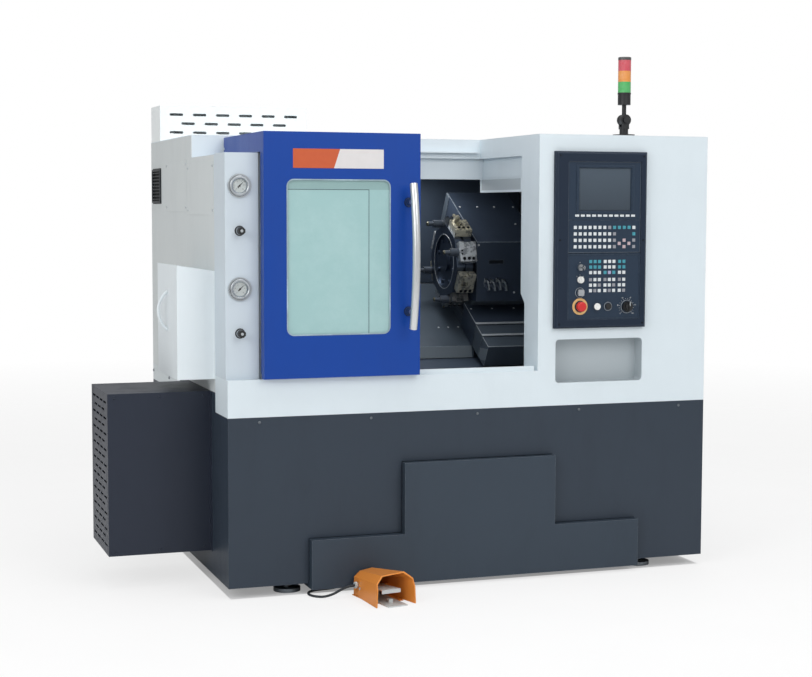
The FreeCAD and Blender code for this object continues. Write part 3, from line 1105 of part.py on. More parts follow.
def door_handle():
    """Bowed stainless grip on two posts."""
    y_post = -DOOR_PROUD - HANDLE_STAND
    low = Vector(HANDLE_X, y_post - 4, HANDLE_LOW)
    high = Vector(HANDLE_X, y_post - 4, HANDLE_HIGH)
    middle = Vector(HANDLE_X, y_post - HANDLE_BOW, (HANDLE_LOW + HANDLE_HIGH) / 2)
    bow = Part.Arc(low, middle, high).toShape()
    ring = Part.Wire(Part.makeCircle(HANDLE_RADIUS, low, bow.tangentAt(bow.FirstParameter)))
    grip = Part.Wire(bow).makePipeShell([ring], True, True)
    face = -DOOR_PROUD - EPS
    posts = [rod_y(9, HANDLE_X, z, y_post - 14, face) for z in (POST_LOW_Z, POST_HIGH_Z)]
    feet = [rod_y(16, HANDLE_X, z, -DOOR_PROUD - 12, face) for z in (POST_LOW_Z, POST_HIGH_Z)]
    return join([grip] + posts + feet)


save("door_shell", door_shell())
save("door_window", door_window())
save("door_handle", door_handle())


# ---- control panel ------------------------------------------------------------------------
PANEL_FACE = -PANEL_PROUD
UNIT_FACE = PANEL_FACE + 5.0
KEY_COLUMNS = 13
KEY_ROWS = 4
KEY_SIZE = 12.0
KEY_FIRST = (1345.0, 1298.0)  # upper left letter key
KEY_PITCH = (20.6, 24.5)
ARROW_KEYS = [(9, 2.5), (10, 2), (10, 3), (11, 2.5)]    # column and row of each
E_STOP = (1368.0, 997.0)
START = (1437.0, 996.0)
STOP = (1485.0, 996.0)
OVERRIDE = (1565.0, 994.0)
KEY_SWITCH = (1367.0, 1146.0)
MODE = (1367.0, 1099.0)
GUARDED = (1367.0, 1050.0)
BUTTON_HOLE = 11.0
COLLAR = 3.0                  # collars of the switches stand this far out
COLLARS = [(E_STOP, 22), (START, 15), (STOP, 17), (OVERRIDE, 26), (KEY_SWITCH, 14), (MODE, 14), (GUARDED, 16)]
SCREEN_KEYS = 11              # row of narrow keys under the screen
SCREEN_KEY_FIRST = (1352.0, 1343.0)
SCREEN_KEY_PITCH = 23.6
MEMBRANE_GROUPS = [(1411.0, 3), (1472.0, 3), (1533.0, 2)]   # first column's place, columns
MEMBRANE_TOP = 1168.0
MEMBRANE_PITCH = (18.5, 21.0)


def panel_frame():
    """Bevelled frame of the control panel, with a tub behind it in the housing."""
    x0, x1, z0, z1 = PANEL
    plate = box(x0, x1, PANEL_FACE, -EPS, z0, z1)
    rim = [e for e in plate.Edges if e.BoundBox.YMax < PANEL_FACE + 1]
    plate = plate.makeChamfer(PANEL_BEVEL, rim)
    ux0, ux1 = UNIT[:2]
    opening = box(ux0 - EPS, ux1 + EPS, PANEL_FACE - 1, 1, OPERATOR[2] - EPS, UNIT[3] + EPS)
    tub = pan_y(x0 + 22, x1 - 22, z0 + 22, z1 - 22, 95, -EPS - 1, THIN_SHEET)
    return join([plate.cut(opening), tub.cut(opening)])


def key_grid():
    """Raised keys under the screen: a narrow row, then four rows of letter and arrow keys."""
    keys = []
    face = UNIT_FACE
    z = SCREEN_KEY_FIRST[1]
    for k in range(SCREEN_KEYS):
        x = SCREEN_KEY_FIRST[0] + k * SCREEN_KEY_PITCH
        keys.append(box(x - 8, x + 8, face - KEY_RISE, face + 1, z - 4, z + 4))
    spots = [(column, row) for row in range(KEY_ROWS) for column in range(KEY_COLUMNS)
             if row == 0 or not 9 <= column <= 11]
    for column, row in spots + ARROW_KEYS:
        x = KEY_FIRST[0] + column * KEY_PITCH[0]
        z = KEY_FIRST[1] - row * KEY_PITCH[1]
        keys.append(box(x - KEY_SIZE / 2, x + KEY_SIZE / 2, face - KEY_RISE, face + 1,
                        z - KEY_SIZE / 2, z + KEY_SIZE / 2))
    return keys


def display_unit():
    """Screen and letter keypad in one housing; the screen is sunk behind a bevelled mask."""
    x0, x1, z0, z1 = UNIT
    body = box(x0, x1, UNIT_FACE, UNIT_DEPTH, z0, z1)
    sx0, sx1, sz0, sz1 = SCREEN
    mask = box(sx0, sx1, UNIT_FACE - 1, UNIT_FACE + 6, sz0, sz1)
    ridge = box(sx0 - 12, sx1 + 12, UNIT_FACE - 3, UNIT_FACE + 1, sz0 - 12, sz1 + 12)
    ridge = ridge.cut(box(sx0 - 4, sx1 + 4, UNIT_FACE - 4, UNIT_FACE + 2, sz0 - 4, sz1 + 4))
    seam = box(x0 - 1, x1 + 1, UNIT_FACE - 1, UNIT_FACE + 2, 1325, 1327)
    return join([body.cut([mask, seam]), ridge] + key_grid())


def operator_panel():
    """Lower panel with its key field and the holes of the switches."""
    x0, x1, z0, z1 = OPERATOR
    face = UNIT_FACE
    body = box(x0, x1, face, face + OPERATOR_DEPTH, z0, z1)
    rim = box(x0, x1, face - 2, face + 1, z0, z1)
    rim = rim.cut(box(x0 + 5, x1 - 5, face - 3, face + 2, z0 + 5, z1 - 5))
    keys = []
    half = KEY_SIZE / 2
    for group_x, columns in MEMBRANE_GROUPS:
        for column in range(columns):
            for row in range(6):
                x = group_x + column * MEMBRANE_PITCH[0]
                z = MEMBRANE_TOP - row * MEMBRANE_PITCH[1] - (6.0 if row > 2 else 0.0)
                keys.append(box(x - half, x + half, face - KEY_RISE, face + 1, z - half, z + half))
    collars = [rod_y(radius, x, z, face - COLLAR, face + 1) for (x, z), radius in COLLARS]
    holes = [rod_y(BUTTON_HOLE + RUNNING, x, z, face - 5, face + 20) for (x, z), radius in COLLARS]
    return join([body, rim] + keys + collars).cut(holes)


def push_button(place, radius, length, dome):
    """Round button: a shaft in the panel and a cap in front of its collar."""
    x, z = place
    face = UNIT_FACE - COLLAR
    stroke = 4.5
    shaft = rod_y(BUTTON_HOLE, x, z, face - stroke - 1, face + 24)
    cap = rod_y(radius, x, z, face - stroke - length, face - stroke)
    edge = [e for e in cap.Edges if e.BoundBox.YMax < face - stroke - length + 0.5 and e.Length > radius]
    return join([cap.makeFillet(dome, edge), shaft])


def knob(place, radius, length):
    """Turning switch: a fluted grip with a raised bar, on its shaft."""
    x, z = place
    face = UNIT_FACE - COLLAR - GAP
    skirt = rod_y(radius, x, z, face - length / 2, face)
    grip = rod_y(radius * 0.72, x, z, face - length, face - length / 2 + 1)
    bar = box(x - 3, x + 3, face - length - 5, face - length / 2, z - radius * 0.7, z + radius * 0.95)
    shaft = rod_y(BUTTON_HOLE, x, z, face - 1, face + 24)
    return join([skirt, grip, bar, shaft])


def key_switch():
    """Lock barrel with its key."""
    x, z = KEY_SWITCH
    face = UNIT_FACE - COLLAR - GAP
    barrel = rod_y(12, x, z, face - 7, face)
    blade = box(x - 1.2, x + 1.2, face - 22, face - 6, z - 4, z + 4)
    bow = rod_x(10, x - 1.4, x + 1.4, face - 30, z)
    bow = bow.cut(rod_x(3, x - 2, x + 2, face - 32, z))
    shaft = rod_y(BUTTON_HOLE, x, z, face - 1, face + 24)
    return join([barrel, blade, bow, shaft])


def guarded_button():
    """Square push button in its collar."""
    x, z = GUARDED
    face = UNIT_FACE - COLLAR
    shaft = rod_y(BUTTON_HOLE, x, z, face - 5.5, face + 24)
    cap = rounded_y(x - 12, x + 12, z - 12, z + 12, face - 12, face - 4.5, 4)
    return join([cap, shaft])


save("panel_frame", panel_frame())
save("display_unit", display_unit())
save("operator_panel", operator_panel())
save("emergency_stop", push_button(E_STOP, 19, 16, 6))
save("start_button", push_button(START, 13, 6, 2))
save("stop_button", push_button(STOP, 12, 5, 2))
save("guarded_button", guarded_button())
save("override_knob", knob(OVERRIDE, 20, 24))
save("mode_selector", knob(MODE, 13, 16))
save("key_switch", key_switch())


# ---- gauges and valves --------------------------------------------------------------------
def gauge_case(z):
    """Flanged pressure gauge, open at the dial, with its body behind the column."""
    y = COLUMN_FRONT
    flange = rod_y(GAUGE_RADIUS, GAUGE_X, z, y - GAUGE_STAND + 4, y - EPS)
    bezel = rod_y(GAUGE_DIAL + 5, GAUGE_X, z, y - GAUGE_STAND - 3, y - GAUGE_STAND + 5)
    can = rod_y(GAUGE_DIAL - GAP, GAUGE_X, z, y - 1, y + 32)
    dial_room = rod_y(GAUGE_DIAL - 3, GAUGE_X, z, y - GAUGE_STAND - 4, y - 2)
    spigot = rod_y(7, GAUGE_X, z, y + 31, y + 50)
    pin_hole = rod_y(1.5 + RUNNING, GAUGE_X, z, y - 5, y + 8)
    return join([flange, bezel, can, spigot]).cut([dial_room, pin_hole])


def gauge_needle(z):
    """Pointer with its counterweight and spindle, at rest from lower left to upper right."""
    y = COLUMN_FRONT
    hub = rod_y(3.5, GAUGE_X, z, y - 4.5, y - 3)
    pin = rod_y(1.5, GAUGE_X, z, y - 4, y + 6)
    blade = prism_y([(GAUGE_X - 2, z), (GAUGE_X, z + NEEDLE_LENGTH), (GAUGE_X + 2, z),
                     (GAUGE_X + 2.5, z - 9), (GAUGE_X - 2.5, z - 9)], y - 4.2, y - 3.2)
    blade.rotate(Vector(GAUGE_X, y, z), Vector(0, 1, 0), 45)
    return join([hub, pin, blade])


def valve_knob(z):
    """Adjusting knob of the pressure valve on its stem."""
    y = COLUMN_FRONT
    grip = rod_y(VALVE_RADIUS, GAUGE_X, z, y - 36, y - 14)
    neck = rod_y(VALVE_RADIUS * 0.7, GAUGE_X, z, y - 15, y - GAP)
    stem = rod_y(VALVE_STEM, GAUGE_X, z, y - 1, y + 30)
    flutes = []
    for k in range(8):
        turn = k * math.pi / 4
        flutes.append(rod_y(2.2, GAUGE_X + (VALVE_RADIUS + 1) * math.cos(turn),
                            z + (VALVE_RADIUS + 1) * math.sin(turn), y - 37, y - 16))
    return join([grip.cut(flutes), neck, stem])


save("gauge_cases", *[gauge_case(z) for z in GAUGE_HEIGHTS.values()])
for name, z in GAUGE_HEIGHTS.items():
    save("needle_" + name, gauge_needle(z))
for name, z in VALVE_HEIGHTS.items():
    save("valve_knob_" + name, valve_knob(z))


# ---- signal lamp --------------------------------------------------------------------------
def lamp_foot():
    """Flange on the roof with a forked post that holds the lamp's joint."""
    roof = TOP_HEIGHT + EPS
    flange = rod_z(43, LAMP_X, LAMP_Y, roof, roof + 9)
    post = rod_z(17, LAMP_X, LAMP_Y, roof + 8, roof + 38)
    z = TOP_HEIGHT + LAMP_PIVOT
    ears = []
    for y0, y1 in ((LAMP_Y - 18, LAMP_Y - 9), (LAMP_Y + 9, LAMP_Y + 18)):
        ears.append(rod_y(22, LAMP_X, z, y0, y1))
        ears.append(box(LAMP_X - 14, LAMP_X + 14, y0, y1, roof + 30, z))
    bridge = box(LAMP_X - 14, LAMP_X + 14, LAMP_Y - 18, LAMP_Y + 18, roof + 30, roof + 38)
    bore = rod_y(8 + RUNNING, LAMP_X, z, LAMP_Y - 30, LAMP_Y + 30)
    return join([flange, post, bridge] + ears).cut(bore)


def lamp_column():
    """Tilting neck and black socket of the signal lamp, with its clamping bolt."""
    z = TOP_HEIGHT + LAMP_PIVOT
    tongue = rod_y(21, LAMP_X, z, LAMP_Y - 9 + GAP, LAMP_Y + 9 - GAP)
    bolt = rod_y(8, LAMP_X, z, LAMP_Y - 24, LAMP_Y + 24)
    heads = [rod_y(13, LAMP_X, z, LAMP_Y - 26, LAMP_Y - 18 - GAP),
             rod_y(13, LAMP_X, z, LAMP_Y + 18 + GAP, LAMP_Y + 26)]
    low = TOP_HEIGHT + LAMP_BASE_LOW
    neck = rod_z(8.5, LAMP_X, LAMP_Y, z + 10, low + 1)
    socket = rod_z(LAMP_RADIUS, LAMP_X, LAMP_Y, low, low + LAMP_BASE_HEIGHT)
    rim = rod_z(LAMP_RADIUS + 1, LAMP_X, LAMP_Y, low + LAMP_BASE_HEIGHT - 6, low + LAMP_BASE_HEIGHT)
    return join([tongue, bolt] + heads + [neck, socket, rim])


def signal_lenses():
    """Green, amber and red lens rings, and the cap, stacked on the socket."""
    z = TOP_HEIGHT + LAMP_BASE_LOW + LAMP_BASE_HEIGHT + EPS
    stack = []
    for k in range(3):
        low = z + k * (LENS_HEIGHT + EPS)
        stack.append(rod_z(LAMP_RADIUS, LAMP_X, LAMP_Y, low, low + LENS_HEIGHT))
    top = z + 3 * (LENS_HEIGHT + EPS)
    cap = rod_z(LAMP_RADIUS + 0.5, LAMP_X, LAMP_Y, top, top + LAMP_CAP)
    edge = [e for e in cap.Edges if e.BoundBox.ZMin > top + LAMP_CAP - 1]
    stack.append(cap.makeFillet(3, edge))
    return stack


save("lamp_foot", lamp_foot())
save("lamp_column", lamp_column())
save("signal_lenses", *signal_lenses())


# ---- foot switch --------------------------------------------------------------------------
FOOT_FLOOR = -FLOOR_GAP
HINGE_BACK = 168.0            # treadle hinge, behind the open front
HINGE_UP = 34.0
HINGE_RADIUS = 4.0
GLAND_X = -62.0               # left side of the hood at the cord's gland
GLAND_Y = 189.0
GLAND_UP = 44.0
GLAND_RADIUS = CORD_RADIUS + 4.0


def place_foot(shape):
    """Turn a piece modelled at the origin and set it on the floor in front of the tank."""
    shape.rotate(Vector(0, 0, 0), Vector(0, 0, 1), FOOT_TURN_DEG)
    shape.translate(Vector(FOOT_X, FOOT_Y, FOOT_FLOOR))
    return shape


def hood_section(width, height, y, lean):
    """Six-cornered arch section of the hood at depth y."""
    half = width / 2
    points = [(-half - lean, 0), (-half, height * 0.72), (-half + 24, height - 6), (half - 30, height),
              (half, height * 0.78), (half + lean, 0)]
    corners = [Vector(x, y, z) for x, z in points]
    return Part.makePolygon(corners + corners[:1])


def foot_switch_guard():
    """Cast hood that tapers to the back, open in front and below, with a gland hole at the left."""
    w = FOOT_WALL
    outer = Part.makeLoft([hood_section(FOOT_WIDTH, FOOT_HEIGHT, 0, 4),
                           hood_section(FOOT_BACK_WIDTH, FOOT_BACK_HEIGHT, FOOT_LENGTH, 2)], True, True)
    inner = Part.makeLoft([hood_section(FOOT_WIDTH - 2 * w, FOOT_HEIGHT - w, -1, 4),
                           hood_section(FOOT_BACK_WIDTH - 2 * w, FOOT_BACK_HEIGHT - w, FOOT_LENGTH - w, 2)],
                          True, True)
    inner = inner.fuse(box(-FOOT_WIDTH, FOOT_WIDTH, -10, FOOT_LENGTH - w, -5, 0.5)).removeSplitter()
    shell = outer.cut(inner)
    visor = prism_x([(-1, FOOT_HEIGHT * 0.5), (-1, FOOT_HEIGHT + 5), (26, FOOT_HEIGHT + 5)], -100, 100)
    hole = rod_x(GLAND_RADIUS + EPS, GLAND_X - 20, GLAND_X + 20, GLAND_Y, GLAND_UP)
    bosses = []
    for x in (-FOOT_BACK_WIDTH / 2 - 2, FOOT_BACK_WIDTH / 2 - 12):
        bosses.append(box(x, x + 14, HINGE_BACK - 9, HINGE_BACK + 9, 8, HINGE_UP + 10))
    pin_holes = rod_x(HINGE_RADIUS + RUNNING, -90, 90, HINGE_BACK, HINGE_UP)
    floor_strip = [box(x, x + 22, 60, FOOT_LENGTH - w, 0, 3) for x in (-62, 40)]
    solid = join([shell.cut([visor, hole])] + bosses + floor_strip)
    return place_foot(solid.cut(pin_holes))


def foot_switch_base():
    """Flat base plate with the switch block behind the treadle."""
    plate = box(-FOOT_PLATE_WIDTH / 2, FOOT_PLATE_WIDTH / 2, -FOOT_PLATE_PROUD, FOOT_LENGTH - 20, 0, 4)
    block = box(-30, 30, HINGE_BACK + 14, FOOT_LENGTH - 10, 3, 74)
    stop = box(-8, 8, 40, 56, 3, 16)
    return place_foot(join([plate, block, stop]))


def foot_switch_treadle():
    """Treadle plate on its hinge pin, its front edge turned down."""
    half = TREADLE_WIDTH / 2
    front = HINGE_BACK - TREADLE_LENGTH
    plate = prism_x([(front, TREADLE_HEIGHT - 4), (front, TREADLE_HEIGHT), (HINGE_BACK - 6, HINGE_UP + 8),
                     (HINGE_BACK - 6, HINGE_UP + 3)], -half, half)
    lip = box(-half, half, front, front + 3, TREADLE_HEIGHT - 14, TREADLE_HEIGHT - 1)
    barrel = rod_x(HINGE_RADIUS + 5, -half, half, HINGE_BACK, HINGE_UP)
    reach = FOOT_BACK_WIDTH / 2 + 1
    pin = rod_x(HINGE_RADIUS, -reach, reach, HINGE_BACK, HINGE_UP)
    return place_foot(join([plate, lip, barrel, pin]))


def foot_gland():
    """Hollow gland pressed into the guard's left side, round the cord."""
    body = rod_x(GLAND_RADIUS, GLAND_X - 8, GLAND_X + 12, GLAND_Y, GLAND_UP)
    nut = rod_x(GLAND_RADIUS + 4, GLAND_X - 7, GLAND_X - 1, GLAND_Y, GLAND_UP)
    bore = rod_x(CORD_RADIUS + EPS, GLAND_X - 28, 0, GLAND_Y, GLAND_UP)
    return place_foot(join([body, nut]).cut(bore))


def cord_tube():
    """Straight runs joined by tangent arcs, each as large as its two runs allow."""
    points = [Vector(*p) for p in CORD_ROUTE]
    edges = []
    start = points[0]
    for k in range(1, len(points) - 1):
        before = points[k] - points[k - 1]
        after = points[k + 1] - points[k]
        turn = before.getAngle(after)
        tangent = 0.45 * min(before.Length, after.Length)
        radius = tangent / math.tan(turn / 2)
        print("cord radius at point %d: %.0f mm" % (k, radius))
        a = points[k] - before.normalize() * tangent
        b = points[k] + after.normalize() * tangent
        inward = (a + b) * 0.5 - points[k]
        inward.normalize()
        centre = points[k] + inward * math.hypot(radius, tangent)
        edges.append(Part.LineSegment(start, a).toShape())
        edges.append(Part.Arc(a, centre - inward * radius, b).toShape())
        start = b
    edges.append(Part.LineSegment(start, points[-1]).toShape())
    path = Part.Wire(edges)
    ring = Part.Wire(Part.makeCircle(CORD_RADIUS, points[0], points[1] - points[0]))
    tube = path.makePipeShell([ring], True, True)
    section = math.pi * CORD_RADIUS ** 2
    print("cord length %.0f mm, volume over section times length %.4f"
          % (path.Length, tube.Volume / (section * path.Length)))
    return tube


save("foot_switch_guard", foot_switch_guard())
save("foot_switch_base", foot_switch_base(), foot_gland())
save("foot_switch_treadle", foot_switch_treadle())
save("foot_switch_cord", cord_tube())
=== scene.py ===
import math

import bmesh
import bpy
from mathutils import Matrix, Vector


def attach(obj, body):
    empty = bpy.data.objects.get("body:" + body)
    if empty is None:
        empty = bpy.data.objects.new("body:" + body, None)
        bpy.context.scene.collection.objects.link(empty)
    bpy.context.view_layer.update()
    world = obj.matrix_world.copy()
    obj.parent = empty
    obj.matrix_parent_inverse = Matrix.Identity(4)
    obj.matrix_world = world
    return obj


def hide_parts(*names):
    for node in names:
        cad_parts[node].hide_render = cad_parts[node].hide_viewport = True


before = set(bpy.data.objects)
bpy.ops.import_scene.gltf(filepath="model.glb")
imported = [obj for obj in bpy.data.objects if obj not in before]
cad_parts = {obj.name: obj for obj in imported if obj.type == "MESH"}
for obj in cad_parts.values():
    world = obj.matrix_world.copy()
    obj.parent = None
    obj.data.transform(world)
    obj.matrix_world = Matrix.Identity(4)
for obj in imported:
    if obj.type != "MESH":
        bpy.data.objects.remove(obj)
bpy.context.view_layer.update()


# ---- Base: casting, levelling feet and dark covers ----
# A ribbed iron casting, brush painted, on eight screwed feet. Folded sheet covers with a
# satin powder coat hang round it and are held by small button screws along their top.
class Reading:
    """A socket that gives a value. Arithmetic on it adds Math nodes."""

    def __init__(self, nodes, socket):
        self.nodes = nodes
        self.socket = socket

    def __add__(self, other):
        return self.nodes.maths("ADD", self, other)

    def __radd__(self, other):
        return self.nodes.maths("ADD", other, self)

    def __sub__(self, other):
        return self.nodes.maths("SUBTRACT", self, other)

    def __rsub__(self, other):
        return self.nodes.maths("SUBTRACT", other, self)

    def __mul__(self, other):
        return self.nodes.maths("MULTIPLY", self, other)

    def __rmul__(self, other):
        return self.nodes.maths("MULTIPLY", other, self)

    def __truediv__(self, other):
        return self.nodes.maths("DIVIDE", self, other)

    def __rtruediv__(self, other):
        return self.nodes.maths("DIVIDE", other, self)

    def __gt__(self, other):
        return self.nodes.maths("GREATER_THAN", self, other)

    def __lt__(self, other):
        return self.nodes.maths("LESS_THAN", self, other)

    def __abs__(self):
        return self.nodes.maths("ABSOLUTE", self)


class Nodes:
    """The nodes of one finish, or of the room's air."""

    def __init__(self, owner):
        owner.use_nodes = True
        self.tree = owner.node_tree
        self.tree.nodes.clear()

    def maths(self, operation, first, second=0.0):
        return self.node("ShaderNodeMath", {"operation": operation}, {0: first, 1: second})

    def node(self, kind, settings=None, sockets=None, output=0):
        """Adds a node of this kind: its settings first, then the values or links of its sockets."""
        made = self.tree.nodes.new(kind)
        for name, value in (settings or {}).items():
            if name == "stops":
                made.color_ramp.interpolation = "CONSTANT"
                stops = made.color_ramp.elements
                while len(stops) < len(value):
                    stops.new(1.0)
                for stop, (place, colour) in zip(stops, value):
                    stop.position = place
                    stop.color = colour
            else:
                setattr(made, name, value)
        for name, value in (sockets or {}).items():
            self.feed(made.inputs[name], value)
        return Reading(self, made.outputs[output])

    def feed(self, socket, value):
        if isinstance(value, Reading):
            self.tree.links.new(value.socket, socket)
        else:
            socket.default_value = value


class Finish(Nodes):
    """One procedural surface: a Principled shader and the nodes that feed it."""

    def __init__(self, name):
        self.material = bpy.data.materials.new(name)
        super().__init__(self.material)
        self.shader = self.tree.nodes.new("ShaderNodeBsdfPrincipled")
        self.output = self.tree.nodes.new("ShaderNodeOutputMaterial")
        self.tree.links.new(self.shader.outputs[0], self.output.inputs[0])

    def set(self, **values):
        """Gives the shader's sockets their values. A name is a socket's, with _ for each space."""
        for name, value in values.items():
            self.feed(self.shader.inputs[name.replace("_", " ")], value)

    def place(self, part=None):
        """The piece's own coordinates in metres, or one of them."""
        whole = self.node("ShaderNodeTexCoord", output="Object")
        if part is None:
            return whole
        return self.node("ShaderNodeSeparateXYZ", None, {0: whole}, output=part)

    def inside(self, x=None, y=None, z=None):
        """1 in a box of the piece's space, 0 outside it. A direction that isn't given is open."""
        mask = 1.0
        for part, reach in zip("XYZ", (x, y, z)):
            if reach:
                where = self.place(part)
                mask = (where > reach[0]) * (where < reach[1]) * mask
        return mask

    def noise(self, scale, detail=3.0, roughness=0.5, stretch=(1, 1, 1)):
        where = self.node("ShaderNodeMapping", None, {"Vector": self.place(), "Scale": stretch})
        return self.node("ShaderNodeTexNoise", None,
                         {"Vector": where, "Scale": scale, "Detail": detail, "Roughness": roughness})

    def between(self, value, low, high):
        """Value spread so that low gives 0 and high gives 1, held inside that."""
        return self.node("ShaderNodeMapRange", {"clamp": True}, {0: value, 1: low, 2: high, 3: 0.0, 4: 1.0})

    def mix(self, share, first, second):
        return self.node("ShaderNodeMix", {"data_type": "RGBA"}, {0: share, 6: first, 7: second}, output=2)

    def edges(self, width):
        """1 along sharp edges of the piece, 0 on its flats."""
        soft = self.node("ShaderNodeBevel", {"samples": 4}, {"Radius": width})
        true = self.node("ShaderNodeNewGeometry", output="Normal")
        same = self.node("ShaderNodeVectorMath", {"operation": "DOT_PRODUCT"}, {0: soft, 1: true}, output=1)
        return self.between(1.0 - same, 0.02, 0.25)

    def relief(self, height, depth, strength=1.0, rounding=0.0):
        """Bump from a height, over edges that are rounded by the given radius."""
        sockets = {"Height": height, "Distance": depth, "Strength": strength}
        if rounding:
            sockets["Normal"] = self.node("ShaderNodeBevel", {"samples": 4}, {"Radius": rounding})
        self.feed(self.shader.inputs["Normal"], self.node("ShaderNodeBump", None, sockets))
        return self


def paint(hexed, lift=1.0):
    """A colour written as on a screen, as the light values that a shader takes."""
    shades = [int(hexed[k:k + 2], 16) / 255 for k in (1, 3, 5)]
    light = [s / 12.92 if s < 0.04045 else ((s + 0.055) / 1.055) ** 2.4 for s in shades]
    return tuple(min(1.0, s * lift) for s in light) + (1.0,)


def dress(finish, *nodes):
    """The finish goes on solids that come from the construction."""
    for node in nodes:
        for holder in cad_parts[node].material_slots:
            holder.material = finish.material


def piece(name, shape, finish, body):
    """A finished shape becomes a piece that rides on its body."""
    bmesh.ops.recalc_face_normals(shape, faces=shape.faces)
    mesh = bpy.data.meshes.new(name)
    shape.to_mesh(mesh)
    shape.free()
    made = bpy.data.objects.new(name, mesh)
    bpy.context.collection.objects.link(made)
    mesh.materials.append(finish.material)
    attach(made, body)
    return made


def coated(name, colour, gloss=0.38, soiled=0.25, peel=0.00005, wear_and_highlight_colour=None, edge_highlight_share=0.0, other=(),
           other_colour=None):
    """Powder coat or enamel: slow drift of shade, orange peel, wiped smears, edges rubbed through in patches;
    a share of edge highlight lights the edges all along, a painted highlight.

    Inside the other boxes the sheet has the other colour, or else is darker as painted shade.
    """
    finish = Finish(name)
    drift = finish.noise(1.6, 5, 0.6)
    smears = finish.between(finish.noise(7, 6, 0.7, (1.0, 1.0, 0.3)), 0.48, 0.78)
    rubbed = finish.between(finish.noise(55, 4, 0.6), 0.42, 0.62)
    # Edges: wear in patches, and with the edge highlight share lit all along, a painted highlight.
    wear_and_edge_highlight = finish.edges(0.0015 + 0.002 * edge_highlight_share) * (rubbed * (1.0 - edge_highlight_share) + edge_highlight_share)
    shade = finish.mix(drift, paint(colour, 0.93), paint(colour, 1.06))
    shade = finish.mix(smears * soiled, shade, paint(colour, 0.72))
    other_paint = paint(other_colour) if other_colour else paint(colour, 0.62)
    for box in other:
        shade = finish.mix(finish.inside(**box), shade, other_paint)
    finish.set(Base_Color=finish.mix(wear_and_edge_highlight * (0.55 + 0.4 * edge_highlight_share), shade, paint(wear_and_highlight_colour or colour, 1.35)),
               Roughness=gloss + smears * 0.12 + wear_and_edge_highlight * 0.1, Specular_IOR_Level=0.32)
    return finish.relief(finish.noise(520, 2), peel, 0.7, 0.0009)


def shift(x, y, z):
    return Matrix.Translation((x, y, z))


def turn(degrees, axis):
    return Matrix.Rotation(math.radians(degrees), 4, axis)


def facing_front(x, y, z):
    """Local x to the right, local y up, local z out of the front."""
    return shift(x, y, z) @ turn(90, "X")


def facing_back(x, y, z):
    """Local z out of the back."""
    return shift(x, y, z) @ turn(-90, "X")


def facing_side(side, x, y, z):
    """Local z out of the left side (-1) or the right side (1)."""
    return shift(x, y, z) @ turn(90 * side, "Y")


def turned(shape, profile, where, steps=28):
    """A profile of (radius, height) spun round local z. One that doesn't end on the axis is a ring."""
    knots = [shape.verts.new((radius, 0.0, height)) for radius, height in profile]
    ring = knots[:1] if profile[0][0] > 0 and profile[-1][0] > 0 else []
    runs = [shape.edges.new(pair) for pair in zip(knots, knots[1:] + ring)]
    before = set(shape.verts) - set(knots)
    bmesh.ops.spin(shape, geom=knots + runs, axis=(0, 0, 1), cent=(0, 0, 0), angle=2 * math.pi,
                   steps=steps, use_merge=True)
    made = [knot for knot in shape.verts if knot not in before]
    bmesh.ops.remove_doubles(shape, verts=made, dist=1e-7)
    made = [knot for knot in shape.verts if knot not in before]
    bmesh.ops.transform(shape, matrix=where, verts=made)


def screw(shape, where, radius, height=None):
    """Button-head screw with a hexagon socket."""
    height = height or radius * 0.6
    turned(shape, [(0, height * 0.45), (radius * 0.38, height * 0.45), (radius * 0.42, height),
                   (radius * 0.62, height), (radius * 0.88, height * 0.72), (radius, height * 0.2),
                   (radius, -0.0004), (0, -0.0004)], where, 12)


def steel(name, colour, gloss=0.3, streak=(1, 1, 1), metallic=1.0):
    """Bare or plated metal with fine tooling lines and oily patches."""
    finish = Finish(name)
    lines = finish.noise(160, 4, 0.7, streak)
    oil = finish.between(finish.noise(12, 5, 0.6), 0.42, 0.7)
    # Edges are lighter: a painted highlight.
    painted_edge_highlight = finish.edges(0.0008)
    shade = finish.mix(lines, paint(colour, 0.82), paint(colour, 1.08))
    shade = finish.mix(oil * 0.35, shade, paint(colour, 0.6))
    finish.set(Base_Color=finish.mix(painted_edge_highlight * 0.6, shade, paint(colour, 1.4)), Metallic=metallic,
               Roughness=gloss + lines * 0.12 - oil * 0.08)
    return finish.relief(lines, 0.00004, 0.5, 0.0005)


def block(shape, low, high, where=Matrix.Identity(4), rounding=0.0004):
    """A bar or plate between two corners, with broken edges."""
    size = [h - l for l, h in zip(low, high)]
    middle = [(h + l) / 2 for l, h in zip(low, high)]
    made = bmesh.ops.create_cube(shape, size=1.0, matrix=where @ shift(*middle) @ Matrix.Diagonal((*size, 1)))
    edges = list({edge for knot in made["verts"] for edge in knot.link_edges})
    bmesh.ops.bevel(shape, geom=edges, offset=min(rounding, min(size) * 0.4), offset_type="OFFSET",
                    affect="EDGES", segments=2, profile=0.5, material=-1)


left_wall, right_wall, rear_wall, base_front = -0.768, 1.151, 0.8667, -0.5733
# The rear of the left cover is pale like the wall above it.
pale_rear = {"x": (-1.0, -0.7660), "y": (0.2800, 1.0), "z": (0.6600, 1.0)}
dress(coated("base_coat", "#303a46", 0.42, 0.4, wear_and_highlight_colour="#55606b", other=[pale_rear],
             other_colour="#cdd5d8"), "base_covers")
cast_paint = coated("cast_paint", "#59626b", 0.55, 0.5, 0.0004)
dress(cast_paint, "bed_casting", "saddle", "cross_slide", "headstock")
foot_zinc = steel("foot_zinc", "#7f868c", 0.42)
dress(foot_zinc, "levelling_feet")

